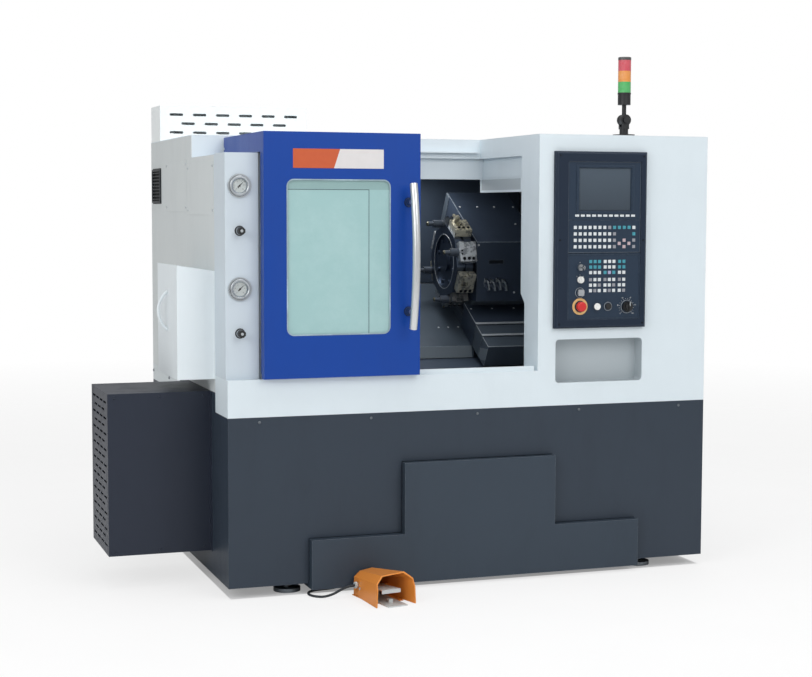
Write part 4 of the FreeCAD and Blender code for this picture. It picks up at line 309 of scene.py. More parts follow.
nuts = bmesh.new()
feet = [(x, y) for x in (-0.538, 0.192, 0.922) for y in (-0.1713, 0.5547)]
for foot_x, foot_y in feet + [(-0.528, -0.4833), (0.911, -0.4833)]:
    turned(nuts, [(0.0125, 0.020), (0.020, 0.020), (0.0215, 0.022), (0.0215, 0.032), (0.020, 0.034),
                  (0.0125, 0.034)], shift(foot_x, foot_y, 0.0), 6)
piece("foot_lock_nuts", nuts, foot_zinc, "machine")

small_zinc = steel("small_zinc", "#c3c9cd", 0.32, metallic=0.6)
cover_screws = bmesh.new()
screws_up = 0.640
for screw_x in (-0.652, -0.230, 0.190, 0.610, 1.040):
    screw(cover_screws, facing_front(screw_x, base_front, screws_up), 0.0055)
for screw_y in (-0.30, 0.05, 0.40, 0.75):
    screw(cover_screws, facing_side(1, right_wall, screw_y, screws_up), 0.0065)
    screw(cover_screws, facing_side(-1, left_wall, screw_y + 0.1, screws_up + 0.060), 0.0065)
for screw_x in (-0.70, -0.26, 0.19, 0.64, 1.09):
    screw(cover_screws, facing_back(screw_x, rear_wall, screws_up), 0.0065)
piece("base_cover_screws", cover_screws, foot_zinc, "machine")


# ---- Hydraulic box and coolant tank ----
# The box on the left wall is folded sheet, almost black, slotted on its outer side over the oil
# unit. The coolant tank is a low tray of sheet that slides under the base on its own skids.
box_coat = coated("box_coat", "#242b39", 0.4, 0.3, wear_and_highlight_colour="#4a5260")
dress(box_coat, "side_box")
# The tank's coat has lit edges all along: a painted highlight.
dress(coated("tank_coat", "#343f4b", 0.45, 0.45, wear_and_highlight_colour="#7c868f", edge_highlight_share=0.5), "coolant_tank")
dress(coated("motor_coat", "#3a3f44", 0.45, 0.5, 0.0002), "hydraulic_unit", "spindle_motor")

box_screws = bmesh.new()
for screw_x in (-1.125, -0.96, -0.795):
    for screw_z in (0.142, 0.712):
        screw(box_screws, facing_front(screw_x, -0.2873, screw_z), 0.0045)
piece("side_box_screws", box_screws, box_coat, "machine")


# ---- Guard: pale sheets, roof, cabinet and vent box ----
# Folded 3 mm sheet with a fine textured white coat, bolted together from inside. The left wall
# has a greyer copy of the coat, a painted shade on the side away from the lamps. The roof carries a slotted
# exhaust box, the rear a switchgear cabinet.
pale_coat = coated("pale_coat", "#dae4ea", 0.45, 0.10, wear_and_highlight_colour="#b7c0c6")
dress(pale_coat, "guard_right", "headstock_guard", "fascia", "roof_panel", "cabinet_door")
# The drives and terminal rows on the cabinet's plate are dark.
switchgear = {"x": (0.1900, 0.9700), "y": (0.7340, 0.8620), "z": (0.8300, 1.5200)}
dress(coated("rear_coat", "#dae4ea", 0.45, 0.10, wear_and_highlight_colour="#b7c0c6", other=[switchgear],
             other_colour="#4b5258"), "guard_rear")
dress(coated("column_coat", "#c9d4dc", 0.45, 0.10, wear_and_highlight_colour="#a9b3ba"), "gauge_column")
dress(coated("vent_coat", "#f0f5f6", 0.45, 0.08, wear_and_highlight_colour="#c4ccd0"), "vent_box")

# The tub under the panel and the drip gutter are painted darker than the coat: painted shade in the recess
# and on the gutter's shaded side.
tub = {"x": (0.5085, 0.8775), "y": (-0.5700, 1.0), "z": (0.7440, 0.9115)}
gutter = {"x": (-1.0, 0.4600), "y": (-0.3950, 0.0120), "z": (1.4830, 1.5265)}
front_coat = coated("front_coat", "#d8e3e9", 0.45, 0.10, wear_and_highlight_colour="#b7c0c6", other=[tub, gutter])
dress(front_coat, "front_guard")

# The vent's frame and blades are black.
wall_vent = {"y": (0.6400, 0.8350), "z": (1.4250, 1.5760)}
# The left wall's coat is a greyer copy of the white coat: painted shade.
dress(coated("wall_coat", "#cfd5d6", 0.48, 0.16, wear_and_highlight_colour="#a6adb0", other=[wall_vent],
             other_colour="#2a2e33"), "guard_left")
dress(coated("end_coat", "#e4ecf0", 0.45, 0.12, wear_and_highlight_colour="#b7c0c6"), "spindle_end_cover")

lintel_corner = bmesh.new()
block(lintel_corner, (0.4562, 0.0268, 1.5285), (0.4590, 0.0498, 1.6115))
piece("lintel_corner", lintel_corner, front_coat, "machine")

guard_screws = bmesh.new()
for screw_y, screw_z in ((-0.355, 1.400), (-0.355, 1.562), (0.085, 1.400), (0.085, 1.562), (0.125, 1.411),
                         (0.125, 1.580), (0.515, 1.411), (0.515, 1.580)):
    screw(guard_screws, facing_side(-1, left_wall - 0.0015, screw_y, screw_z), 0.005)
hatch_middle = (0.257, 1.170)
for screw_y in (-0.075, hatch_middle[0], 0.588):
    for screw_z in (0.818, hatch_middle[1], 1.522):
        if (screw_y, screw_z) != hatch_middle:
            screw(guard_screws, facing_side(1, right_wall, screw_y, screw_z), 0.006)
piece("guard_screws", guard_screws, small_zinc, "machine")

vent_backing = bmesh.new()
bmesh.ops.create_grid(vent_backing, x_segments=1, y_segments=1, size=0.5)
bmesh.ops.transform(vent_backing, verts=vent_backing.verts,
                    matrix=facing_side(-1, -0.7635, 0.7372, 1.5005) @ Matrix.Diagonal((0.125, 0.167, 1, 1)))
bmesh.ops.solidify(vent_backing, geom=vent_backing.faces, thickness=0.0015)
filter_mesh = Finish("filter_mesh")
weave_y, weave_z = (filter_mesh.node("ShaderNodeTexWave", {"bands_direction": direction},
                                     {"Vector": filter_mesh.place(), "Scale": 110.0}) for direction in "YZ")
filter_mesh.set(Base_Color=filter_mesh.mix(weave_y * weave_z, paint("#0c0d0f"), paint("#2b2e31")),
                Roughness=0.8)
filter_mesh.relief(weave_y + weave_z, 0.0004)
piece("wall_vent_filter", vent_backing, filter_mesh, "machine")

cabinet_lock = bmesh.new()
turned(cabinet_lock, [(0, 0.003), (0.004, 0.003), (0.0045, 0.006), (0.011, 0.006), (0.0125, 0.004),
                      (0.0125, -0.001), (0, -0.001)], facing_back(0.1945, rear_wall - 0.0017, 1.0400), 24)
piece("cabinet_lock", cabinet_lock, small_zinc, "cabinet_door")


# ---- Work area: liner, headstock, spindle and chuck ----
# Dark coated sheets line the work area. The spindle is turned steel with a three-jaw power chuck,
# ground and oiled, driven by a belt from a motor behind the headstock.
def ringed(name, colour, centre, gloss=0.25):
    """Steel turned about an axis along x: its tool marks are rings round that axis."""
    finish = Finish(name)
    back = [-part for part in centre]
    moved = finish.node("ShaderNodeMapping", None,
                        {"Vector": finish.place(), "Location": back, "Scale": (0.0, 1.0, 1.0)})
    away = finish.node("ShaderNodeVectorMath", {"operation": "LENGTH"}, {0: moved}, output=1)
    rings = finish.node("ShaderNodeTexNoise", {"noise_dimensions": "1D"},
                        {"W": away, "Scale": 900.0, "Detail": 2.0})
    oil = finish.between(finish.noise(14, 5, 0.6), 0.4, 0.7)
    # Edges are lighter: a painted highlight.
    painted_edge_highlight = finish.edges(0.0008)
    shade = finish.mix(rings, paint(colour, 0.8), paint(colour, 1.1))
    shade = finish.mix(oil * 0.4, shade, paint(colour, 0.55))
    finish.set(Base_Color=finish.mix(painted_edge_highlight * 0.6, shade, paint(colour, 1.4)), Metallic=1.0,
               Roughness=gloss + rings * 0.15)
    return finish.relief(rings, 0.00003, 0.5, 0.0005)


def rubber(name, colour):
    finish = Finish(name)
    grain = finish.noise(700, 2)
    dust = finish.between(finish.noise(14, 5, 0.65), 0.45, 0.75)
    finish.set(Base_Color=finish.mix(dust * 0.5, paint(colour), paint(colour, 2.2)),
               Roughness=0.48 + dust * 0.25, Specular_IOR_Level=0.4)
    return finish.relief(grain, 0.0002, 0.5)


liner_coat = coated("liner_coat", "#4a5666", 0.42, 0.35, wear_and_highlight_colour="#8a949d")
dress(liner_coat, "chamber_liner")
spindle_axis = (0.0, -0.1433145, 1.0)
dress(ringed("spindle_steel", "#8f959b", spindle_axis), "spindle", "chuck_cylinder")
dress(ringed("chuck_steel", "#7d848b", spindle_axis, 0.22), "chuck_body")
dress(steel("jaw_steel", "#6e757c", 0.3), "jaw_1", "jaw_2", "jaw_3")
dress(ringed("pulley_iron", "#6b7076", (0.0, 0.3004, 1.0714), 0.35), "motor_pulley")
dress(rubber("belt_rubber", "#1d1f21"), "drive_belt")

chuck_screws = bmesh.new()
bolt_circle = 0.064
for third in range(3):
    for side in (-1, 1):
        aim = math.radians(120 * third + 60 + side * 22)
        screw(chuck_screws, facing_side(1, 0.0472, spindle_axis[1] + bolt_circle * math.sin(aim),
                                        spindle_axis[2] + bolt_circle * math.cos(aim)), 0.0065, 0.003)
black_screw = steel("black_screw", "#2a2c2f", 0.4)
piece("chuck_screws", chuck_screws, black_screw, "spindle")


# ---- Slide: turret housing, stepped cover and way covers ----
# Sheet covers keep chips off the ways. Each section carries a wiper strip along its lower edge, held by
# small screws, made bright as a painted highlight; the housing over the turret drive is coated dark.
# The coats of the covers have lit edges all along: a painted highlight.
dress(coated("housing_coat", "#3d4858", 0.38, 0.35, wear_and_highlight_colour="#9aa3ab", edge_highlight_share=0.5), "slide_covers")
cover_sheet = coated("cover_sheet", "#56616c", 0.3, 0.4, 0.00002, "#b3bbc2", edge_highlight_share=0.8)
dress(cover_sheet, "cover_middle")
# The front lips of the sliding way covers are painted lighter: a painted highlight on their lit faces.
lit_way_lip = {"x": (-1.0, 0.4240), "y": (-1.0, 0.0796), "z": (0.7890, 0.8385)}
dress(coated("way_sheet", "#56616c", 0.3, 0.4, 0.00002, "#b3bbc2", 0.8, other=[lit_way_lip],
             other_colour="#848e96"), "saddle_covers")


def off_slant(x, up, out):
    """A place from the spindle's axis, up and off the slanted bed: local y runs up it, local z off it."""
    return shift(*spindle_axis) @ turn(30, "X") @ shift(x, up, out)


# A pale steel for the wiper strips, the strips along the covers' edges and the ring on the turret's face: its
# brightness is a painted highlight.
bright_strip = steel("bright_strip", "#d3dadf", 0.3, (0.1, 1, 1), 0.2)
# A paler, hardly metallic copy of the zinc for screws in the shaded work area: painted light.
inner_zinc = steel("inner_zinc", "#e6ebee", 0.35, metallic=0.15)
for strip_name, body, low, top, left, right in (
        ("wiper_upper", "cross_slide", 0.104, -0.1385, 0.4175, 0.7315),
        ("wiper_middle", "cover_middle", 0.027, -0.1440, 0.4198, 0.7292)):
    strip = bmesh.new()
    block(strip, (left, 0.0, 0.0), (right, 0.012, 0.0012), off_slant(0, low, top))
    for screw_x in [left + 0.012 + k * (right - left - 0.024) / 5 for k in range(6)]:
        screw(strip, off_slant(screw_x, low + 0.006, top + 0.0012), 0.0025)
    piece(strip_name, strip, bright_strip, body)
# Thin bright strips along the covers' left edges, and along the lower cover's front, stand for the highlights
# there: painted highlights.
for highlight_strip_name, body, low, high, top, left in (("edge_upper", "cross_slide", 0.116, 0.300, -0.1390, 0.4173),
                                              ("edge_middle", "cover_middle", 0.039, 0.103, -0.1445, 0.4196),
                                              ("edge_lower", "saddle", -0.0440, 0.026, -0.1500, 0.4219)):
    highlight_strips = bmesh.new()
    block(highlight_strips, (left, 0.0, 0.0), (left + 0.0022, high - low, 0.0006), off_slant(0, low, top))
    if body == "saddle":
        block(highlight_strips, (left, 0.0, 0.0), (0.7270, 0.0022, 0.0006), off_slant(0, low, top))
    piece(highlight_strip_name, highlight_strips, bright_strip, body)

housing_left, housing_front = 0.432, 0.0487
lid = shift(housing_left, housing_front, 1.2690) @ turn(30.42, "X")
housing_screws = bmesh.new()
for screw_x, screw_z in ((0.600, 1.060), (0.704, 1.060), (0.440, 1.258), (0.704, 1.258)):
    screw(housing_screws, facing_front(screw_x, housing_front, screw_z), 0.0045)
for screw_x, up in ((0.020, 0.289), (0.100, 0.289), (0.178, 0.289), (0.266, 0.289), (0.226, 0.147),
                    (0.266, 0.030)):
    screw(housing_screws, lid @ shift(screw_x, up, 0.0), 0.0045)
for screw_y, screw_z in ((0.325, 1.375), (0.473, 1.330), (0.150, 1.250), (0.300, 1.120)):
    screw(housing_screws, facing_side(-1, housing_left, screw_y, screw_z), 0.0045)
piece("housing_screws", housing_screws, inner_zinc, "cross_slide")
housing_folds = bmesh.new()
block(housing_folds, (0.0005, 0.004, 0.0), (0.0035, 0.410, 0.0008), lid)
block(housing_folds, (0.0005, 0.001, 0.0), (0.2795, 0.004, 0.0008), lid)
block(housing_folds, (0.4295, 0.674, -0.098), (0.4319, 0.711, 0.139), off_slant(0, 0, 0))
piece("housing_folds", housing_folds, cover_sheet, "cross_slide")
for cover_name, body, up, out, across in (
        ("top_cover_screws", "cross_slide", 0.22, -0.1389, (0.434, 0.529, 0.628, 0.716)),
        ("way_cover_screws", "saddle", 0.25, -0.2499, (0.320, 0.363, 0.408))):
    heads = bmesh.new()
    for screw_x in across:
        screw(heads, off_slant(screw_x, up, out), 0.0045, 0.0018)
    piece(cover_name, heads, inner_zinc, body)

nozzle_pipes = bmesh.new()
pipe_radius, pipe_bend, pipe_drop, pipe_lean = 0.0046, 0.018, 0.0075, 0.001


def edges_of(geometry):
    return [item for item in geometry if isinstance(item, bmesh.types.BMEdge)]


def knots_of(geometry):
    return [item for item in geometry if isinstance(item, bmesh.types.BMVert)]


# Each pipe bends down out of its flange and then drops straight.
for k in range(4):
    root = Vector((0.4720 + k * 0.026, 0.0480, 1.1120 - 0.004 * (k % 2)))
    outlet = facing_front(root.x, root.y, root.z)
    block(nozzle_pipes, (-0.0075, -0.009, 0.0), (0.0075, 0.009, 0.004), outlet, 0.001)
    knots = bmesh.ops.create_circle(nozzle_pipes, segments=12, radius=pipe_radius, matrix=outlet)["verts"]
    first = list({edge for knot in knots for edge in knot.link_edges})
    last = bmesh.ops.spin(nozzle_pipes, geom=knots + first, axis=(1, 0, 0), angle=math.radians(90), steps=6,
                          cent=root - Vector((0, 0, pipe_bend)), dvec=(pipe_lean, 0, 0))["geom_last"]
    for step in range(3):
        last = bmesh.ops.extrude_edge_only(nozzle_pipes, edges=edges_of(last))["geom"]
        bmesh.ops.translate(nozzle_pipes, verts=knots_of(last), vec=(pipe_lean, 0, -pipe_drop))
    for end in (first, last):
        bmesh.ops.edgeloop_fill(nozzle_pipes, edges=edges_of(end))
piece("coolant_nozzles", nozzle_pipes, steel("pipe_steel", "#a2a9af", 0.25), "cross_slide")


# ---- Turret: disc and tool holders ----
# An eight-sided steel disc, black oxided on its flats, with a sunk face ringed by a painted highlight.
# Bolted holders are zinc plated or nickel plated; each square tool carries a coated carbide tip.
turret_axis = (0.0, 0.1814, 1.1875)
disc_face = 0.3360
dress(ringed("disc_steel", "#5d6878", turret_axis, 0.28), "turret_disc")
# A bright ring round the sunk face: a painted highlight.
disc_rim = bmesh.new()
turned(disc_rim, [(0.1128, 0.0), (0.1128, 0.0006), (0.1146, 0.0006), (0.1150, 0.0)],
       facing_side(-1, disc_face, *turret_axis[1:]), 72)
piece("disc_rim", disc_rim, bright_strip, "turret")
holder_plate = Finish("holder_plate")
bearing = holder_plate.maths("ARCTAN2", holder_plate.place("Z") - turret_axis[2],
                             holder_plate.place("Y") - turret_axis[1])
station_colours = ("#ccc8b6", "#8b8b88", "#b0b5b9", "#ccc8b6", "#c9cfd4", "#525a64", "#e2dcc4", "#d3d9de")
stops = [(0.0, paint("#d3d9de"))]
stops += [(0.0208 + k / 8, paint(colour)) for k, colour in enumerate(station_colours)]
station_tone = holder_plate.node("ShaderNodeValToRGB", {"stops": stops}, {0: bearing / (2 * math.pi) + 0.5})
marks = holder_plate.noise(150, 4, 0.7)
stains = holder_plate.between(holder_plate.noise(55, 3, 0.55), 0.50, 0.56)
plated = holder_plate.mix(stains * 0.6, station_tone, paint("#39404a"))
plated = holder_plate.mix(marks * 0.35, plated, paint("#6f7274"))
plated = holder_plate.mix(holder_plate.place("X") < 0.3405, plated, paint("#535b66"))
# The holders' edges are lighter: a painted highlight.
holder_plate.set(Base_Color=holder_plate.mix(holder_plate.edges(0.001) * 0.5, plated, paint("#eeeee8")),
                 Metallic=0.55, Roughness=0.32 + marks * 0.15)
holder_plate.relief(marks, 0.00005, 0.5, 0.0006)
dress(holder_plate, "tool_holders")

tool_tips = bmesh.new()
holder_screws = bmesh.new()
# In a station's own frame x runs away from the disc's face and y outwards over its flat.
for station in range(8):
    at_station = shift(*turret_axis) @ turn(210 + 45 * station, "X")
    for k in range(3):
        screw(holder_screws, at_station @ facing_back(0.358 + 0.020 * k, 0.183, 0.030), 0.0068, 0.003)
    if station % 2 == 0:
        for screw_z in (-0.026, -0.010):
            screw(holder_screws, at_station @ facing_back(0.3805, 0.172, screw_z), 0.0035, 0.002)
        seat = at_station @ shift(0.3572, 0.1962, -0.0470) @ turn(180, "X") @ turn(205, "Z")
        turned(tool_tips, [(0.0018, 0.0), (0.0022, 0.0032), (0.0066, 0.0034), (0.0072, 0.0028), (0.0068, 0.0),
                           (0.0018, 0.0)], seat, 3)
    else:
        for screw_z in (-0.004, 0.010):
            screw(holder_screws, at_station @ facing_back(0.352, 0.178, screw_z), 0.004, 0.0022)
        turned(tool_tips, [(0.0, 0.0), (0.0092, 0.0), (0.0092, 0.003), (0.0070, 0.006), (0.0, 0.009)],
               at_station @ facing_side(-1, 0.2800, 0.1625, 0.0), 18)
piece("holder_screws", holder_screws, black_screw, "turret")
piece("cutting_tips", tool_tips, steel("coated_carbide", "#8d8a78", 0.28), "turret")


# ---- Door: blue pan, safety glass, bowed handle ----
# A folded sheet pan in satin blue on shoes and a roof rail. The laminated window is held from
# behind in a pale rubber frame. The grip is a chromed tube on two turned posts.
door_front = -0.6033
dress(coated("door_coat", "#063f97", 0.34, 0.2, 0.00004, "#4f78c4"), "door_shell")

window_glass = Finish("window_glass")
pane_right, pane_top, half_line = -0.2478, 1.4750, 0.0011
dusty = window_glass.between(window_glass.noise(4, 6, 0.7), 0.45, 0.8)
glass_x, glass_z = window_glass.place("X"), window_glass.place("Z")
pane_edge = ((abs(glass_x - pane_right) < half_line) * (glass_z < pane_top + half_line)
             + (abs(glass_z - pane_top) < half_line) * (glass_x < pane_right))
glass_tone = window_glass.mix(dusty * 0.5, paint("#b4dada"), paint("#c6e2e2"))
# Above the inner pane's top line the glass is darker: a painted shade along the top of the window.
glass_tone = window_glass.mix((glass_z > pane_top) * 0.7, glass_tone, paint("#9dbdbc"))
window_glass.set(Base_Color=window_glass.mix(pane_edge, glass_tone, paint("#3c5058")), IOR=1.5,
                 Alpha=0.64 + dusty * 0.06 + pane_edge * 0.25, Roughness=0.05 + dusty * 0.10,
                 Specular_IOR_Level=0.5)
window_glass.relief(window_glass.noise(2, 2), 0.0003, 0.3)
dress(window_glass, "door_window")


def rounded_frame(shape, left, right, low, high, corner, width, height, where):
    """A flat frame with rounded corners: its outer edge is given, it is this wide and this high."""
    corners = ((left, low), (right, low), (right, high), (left, high))
    knots = [shape.verts.new((x, y, 0.0)) for x, y in corners]
    shape.faces.new(knots)
    bmesh.ops.bevel(shape, geom=knots, offset=corner, offset_type="OFFSET", affect="VERTICES", segments=8,
                    profile=0.5, material=-1)
    face = shape.faces[:][0]
    band = bmesh.ops.inset_region(shape, faces=[face], thickness=width, use_boundary=True,
                                  use_even_offset=True)["faces"]
    bmesh.ops.delete(shape, geom=[face], context="FACES_ONLY")
    raised = bmesh.ops.extrude_face_region(shape, geom=band)["geom"]
    tops = knots_of(raised)
    bmesh.ops.translate(shape, verts=tops, vec=(0, 0, height))
    edges = [edge for edge in shape.edges
             if all(knot in tops for knot in edge.verts) and edge.calc_face_angle(0) > 1]
    bmesh.ops.bevel(shape, geom=edges, offset=height * 0.35, offset_type="OFFSET", affect="EDGES", segments=2,
                    profile=0.5, material=-1)
    bmesh.ops.transform(shape, matrix=where, verts=shape.verts)


seal = bmesh.new()
rounded_frame(seal, -0.5572, -0.1658, 0.9508, 1.5122, 0.0272, 0.005, 0.0016, facing_front(0, door_front, 0))
piece("window_frame", seal, rubber("seal_rubber", "#8ea3ad"), "door")

plate = bmesh.new()
block(plate, (-0.533, 1.551, 0.0), (-0.193, 1.620, 0.0012), facing_front(0, door_front, 0), 0.0005)
plate_print = Finish("plate_print")
past_split = plate_print.place("X") + 0.3695 > (plate_print.place("Z") - 1.5855) * 0.33
cloud = plate_print.noise(30, 3)
plate_orange = plate_print.mix(cloud, paint("#bd5029"), paint("#c65c31"))
plate_white = plate_print.mix(cloud, paint("#d3d0d0"), paint("#dcd9d9"))
plate_print.set(Base_Color=plate_print.mix(past_split, plate_orange, plate_white),
                Roughness=0.3 + plate_print.noise(60, 2) * 0.08)
plate_print.relief(plate_print.noise(300, 2), 0.00003)
piece("door_plate", plate, plate_print, "door")

grip_chrome = Finish("grip_chrome")
brushed = grip_chrome.noise(220, 3, 0.6, (1, 1, 0.04))
# The posts behind the grip are painted like the door.
post = grip_chrome.place("Y") > -0.6330
grip_shade = grip_chrome.mix(brushed, paint("#cdd0d2"), paint("#dadcdd"))
grip_chrome.set(Base_Color=grip_chrome.mix(post, grip_shade, paint("#20355f")), Metallic=0.85 - post * 0.8,
                Roughness=0.30 + brushed * 0.02)
grip_chrome.relief(brushed, 0.000004, 0.2)
dress(grip_chrome, "door_handle")
collars = bmesh.new()
for post_z in (1.032, 1.430):
    turned(collars, [(0.0164, 0.0), (0.0176, 0.0), (0.0178, 0.0006), (0.0172, 0.0016), (0.0164, 0.0016)],
           facing_front(-0.096, door_front, post_z), 32)
piece("handle_collars", collars, rubber("collar_rubber", "#1a2230"), "door")


# ---- Control panel: frame, screen, keys and switches ----
# A bevelled frame of textured sheet holds a display unit above a row of switches. Keys are
# moulded caps under a thin film, the push buttons and selectors are standard 22 mm units.
# The frame and the film have lit edges all along: a painted highlight.
dress(coated("frame_coat", "#0e2034", 0.5, 0.15, 0.0002, "#5d6874", 0.4), "panel_frame")
face_film = coated("face_film", "#203144", 0.5, 0.15, 0.0001, "#56616c", 0.3)
dress(face_film, "display_unit", "operator_panel")

face_y = -0.5933
on_face = facing_front(0, face_y, 0)
screen_pane = bmesh.new()
screen_low, screen_high = 1.4022, 1.5628
block(screen_pane, (0.5932, screen_low, -0.0058), (0.8108, screen_high, -0.0040), on_face, 0.0006)
screen = Finish("screen")
# The screen is paler towards the top: a painted reflection.
reflection_paler_up = screen.between(screen.place("Z"), screen_low, screen_high)
screen.set(Base_Color=screen.mix(reflection_paler_up + screen.noise(2.5, 3) * 0.3, paint("#343f4a"), paint("#47535f")),
           Roughness=0.12 + screen.noise(40, 3) * 0.06)
screen.relief(screen.noise(6, 2), 0.0001)
piece("screen_pane", screen_pane, screen, "machine")


def moulded(name, colour, gloss=0.35):
    """Injection moulded plastic with a fine spark-eroded grain and finger grease."""
    finish = Finish(name)
    grease = finish.between(finish.noise(45, 4, 0.6), 0.42, 0.72)
    shade = finish.mix(finish.noise(9, 3), paint(colour, 0.94), paint(colour, 1.05))
    # Edges are lighter: a painted highlight.
    finish.set(Base_Color=finish.mix(finish.edges(0.0006) * 0.3, shade, paint(colour, 1.3)),
               Roughness=gloss + (1.0 - grease) * 0.12)
    return finish.relief(finish.noise(1400, 2), 0.00004, 0.6, 0.0004)


key_white = moulded("key_white", "#d3d9dc")
key_teal = moulded("key_teal", "#3f93a3")
key_grey = moulded("key_grey", "#8d8f97")
key_lilac = moulded("key_lilac", "#a7a4c4")
key_rose = moulded("key_rose", "#b9a6ac")
caps = {}


def key_cap(finish, x, z, width=0.0124, height=0.0124):
    """Adds a cap to those of its finish, which become one piece."""
    shape = caps.setdefault(finish.material.name, (finish, bmesh.new()))[1]
    block(shape, (-width / 2, -height / 2, 0.0), (width / 2, height / 2, 0.0021), facing_front(x, face_y, z),
          0.0006)


# A row of keys under the screen, the keypad with its four arrows, and the machine keys in three groups.
for k in range(11):
    key_cap(key_white, 0.584 + k * 0.0236, 1.383, 0.0164, 0.0084)
pad_left, pad_top, pad_across, pad_down = 0.577, 1.338, 0.0206, 0.0245
for row in range(4):
    for column in range(13):
        if row and 9 <= column <= 11:
            continue
        if row == 0:
            cap = key_grey if column == 7 else key_teal if 8 <= column <= 11 else key_white
        else:
            cap = key_white if column < 8 else key_grey if column == 8 or row > 1 else key_teal
        key_cap(cap, pad_left + column * pad_across, pad_top - row * pad_down)
for column, row in ((9, 2.5), (10, 2), (10, 3), (11, 2.5)):
    key_cap(key_rose, pad_left + column * pad_across, pad_top - row * pad_down)
for group, group_left in (("left", 0.643), ("middle", 0.704), ("right", 0.765)):
    for column in range(2 if group == "right" else 3):
        for row in range(6):
            if row < 2:
                cap = key_white if group == "middle" else key_teal
            elif row == 2:
                cap = (key_teal, key_lilac, key_teal)[column] if group == "middle" else key_white
            else:
                cap = key_white if (row + column) % 3 else key_grey
            lower = 0.006 if row > 2 else 0.0
            key_cap(cap, group_left + column * 0.0185, 1.208 - row * 0.021 - lower)
for cap_name, (finish, shape) in caps.items():
    piece(cap_name + "_caps", shape, finish, "machine")

panel_screws = bmesh.new()
for screw_x in (0.512, 0.863):
    for screw_z in (0.9705, 1.290, 1.6095):
        screw(panel_screws, facing_front(screw_x, -0.5983, screw_z), 0.0035)
piece("panel_screws", panel_screws, black_screw, "machine")

dress(moulded("stop_red", "#c92b2c", 0.25), "emergency_stop")
dress(moulded("button_white", "#e6e7e4", 0.25), "start_button", "mode_selector")
button_black = moulded("button_black", "#1b1c1e", 0.35)
dress(button_black, "stop_button", "override_knob")
dress(moulded("button_grey", "#9a9ea2", 0.3), "guarded_button")
dress(steel("lock_steel", "#b4b8bb", 0.25), "key_switch")

stop_ring = bmesh.new()
turned(stop_ring, [(0.0225, 0.0), (0.0315, 0.0), (0.0320, 0.0006), (0.0315, 0.0012), (0.0225, 0.0012)],
       facing_front(0.600, face_y, 1.037), 40)
piece("stop_ring", stop_ring, moulded("signal_yellow", "#dcb376", 0.35), "machine")

outlines = bmesh.new()
left, right, line = 0.5475, 0.8515, 0.001
for low, high in ((1.2425, 1.5865), (0.9885, 1.2375)):
    for corner, far_corner in (((left, high - line), (right, high)), ((left, low), (right, low + line)),
                               ((left, low), (left + line, high)), ((right - line, low), (right, high))):
        block(outlines, (*corner, 0.0), (*far_corner, 0.0006), on_face, 0.0002)
piece("panel_outlines", outlines, moulded("outline_grey", "#66707b", 0.35), "machine")

knob_x, knob_z, selector_x = 0.797, 1.034, 0.599
pointer = bmesh.new()
block(pointer, (-0.0011, 0.004, -0.0003), (0.0011, 0.018, 0.0004), facing_front(knob_x, -0.6256, knob_z),
      0.0002)
piece("override_pointer", pointer, key_white, "override_knob")
# Grey rings on the collars of three switches are painted highlights.
rim_highlights = bmesh.new()
for rim_x, rim_z, inner, outer, out in ((knob_x, knob_z, 0.0238, 0.0257, 0.003),
                                        (selector_x, 1.090, 0.0176, 0.0196, 0.0),
                                        (0.717, 1.036, 0.0148, 0.0168, 0.003)):
    turned(rim_highlights, [(inner, 0.0), (outer, 0.0), (outer, 0.0008), (outer - 0.0004, 0.0012), (inner, 0.0012)],
           facing_front(rim_x, face_y - out, rim_z), 40)
piece("switch_rims", rim_highlights, moulded("rim_grey", "#8a9198", 0.3), "machine")


def numerals(shape, numbers, size, radius, start, each, where):
    """Thin raised numbers round a circle: 0 stands at the start, and each unit turns on by some degrees."""
    for number in numbers:
        aim = math.radians(start + each * number)
        curve = bpy.data.curves.new("numeral", "FONT")
        curve.body = str(number)
        curve.size = size
        curve.align_x = "CENTER"
        curve.align_y = "CENTER"
        curve.extrude = 0.0001
        curve.resolution_u = 2
        holder = bpy.data.objects.new("numeral", curve)
        flat = bpy.data.meshes.new_from_object(holder)
        flat.transform(where @ shift(radius * math.cos(aim), radius * math.sin(aim), 0.0))
        shape.from_mesh(flat)
        bpy.data.objects.remove(holder)
        bpy.data.meshes.remove(flat)


def ticks(shape, count, start, end, near, far, where, width=0.0005):
    """Marks of a scale, spread evenly between two bearings in degrees, counted from local x."""
    for k in range(count):
        bearing = start + (end - start) * k / (count - 1)
        block(shape, (near, -width / 2, -0.0001), (far, width / 2, 0.0001), where @ turn(bearing, "Z"),
              0.00002)


dial_print = bmesh.new()
print_y = face_y - 0.0001
dial_face = facing_front(knob_x, print_y, knob_z)
ticks(dial_print, 16, 225, -45, 0.0285, 0.0325, dial_face, 0.0009)
numerals(dial_print, range(0, 151, 30), 0.0062, 0.0375, 225, -1.8, dial_face)
ticks(dial_print, 3, 135, 45, 0.0165, 0.0205, facing_front(selector_x, print_y, 1.139), 0.0009)
ticks(dial_print, 2, 90, 0, 0.0165, 0.0205, facing_front(selector_x, print_y, 1.186), 0.0009)
piece("panel_print", dial_print, moulded("print_white", "#d9dde0", 0.5), "machine")


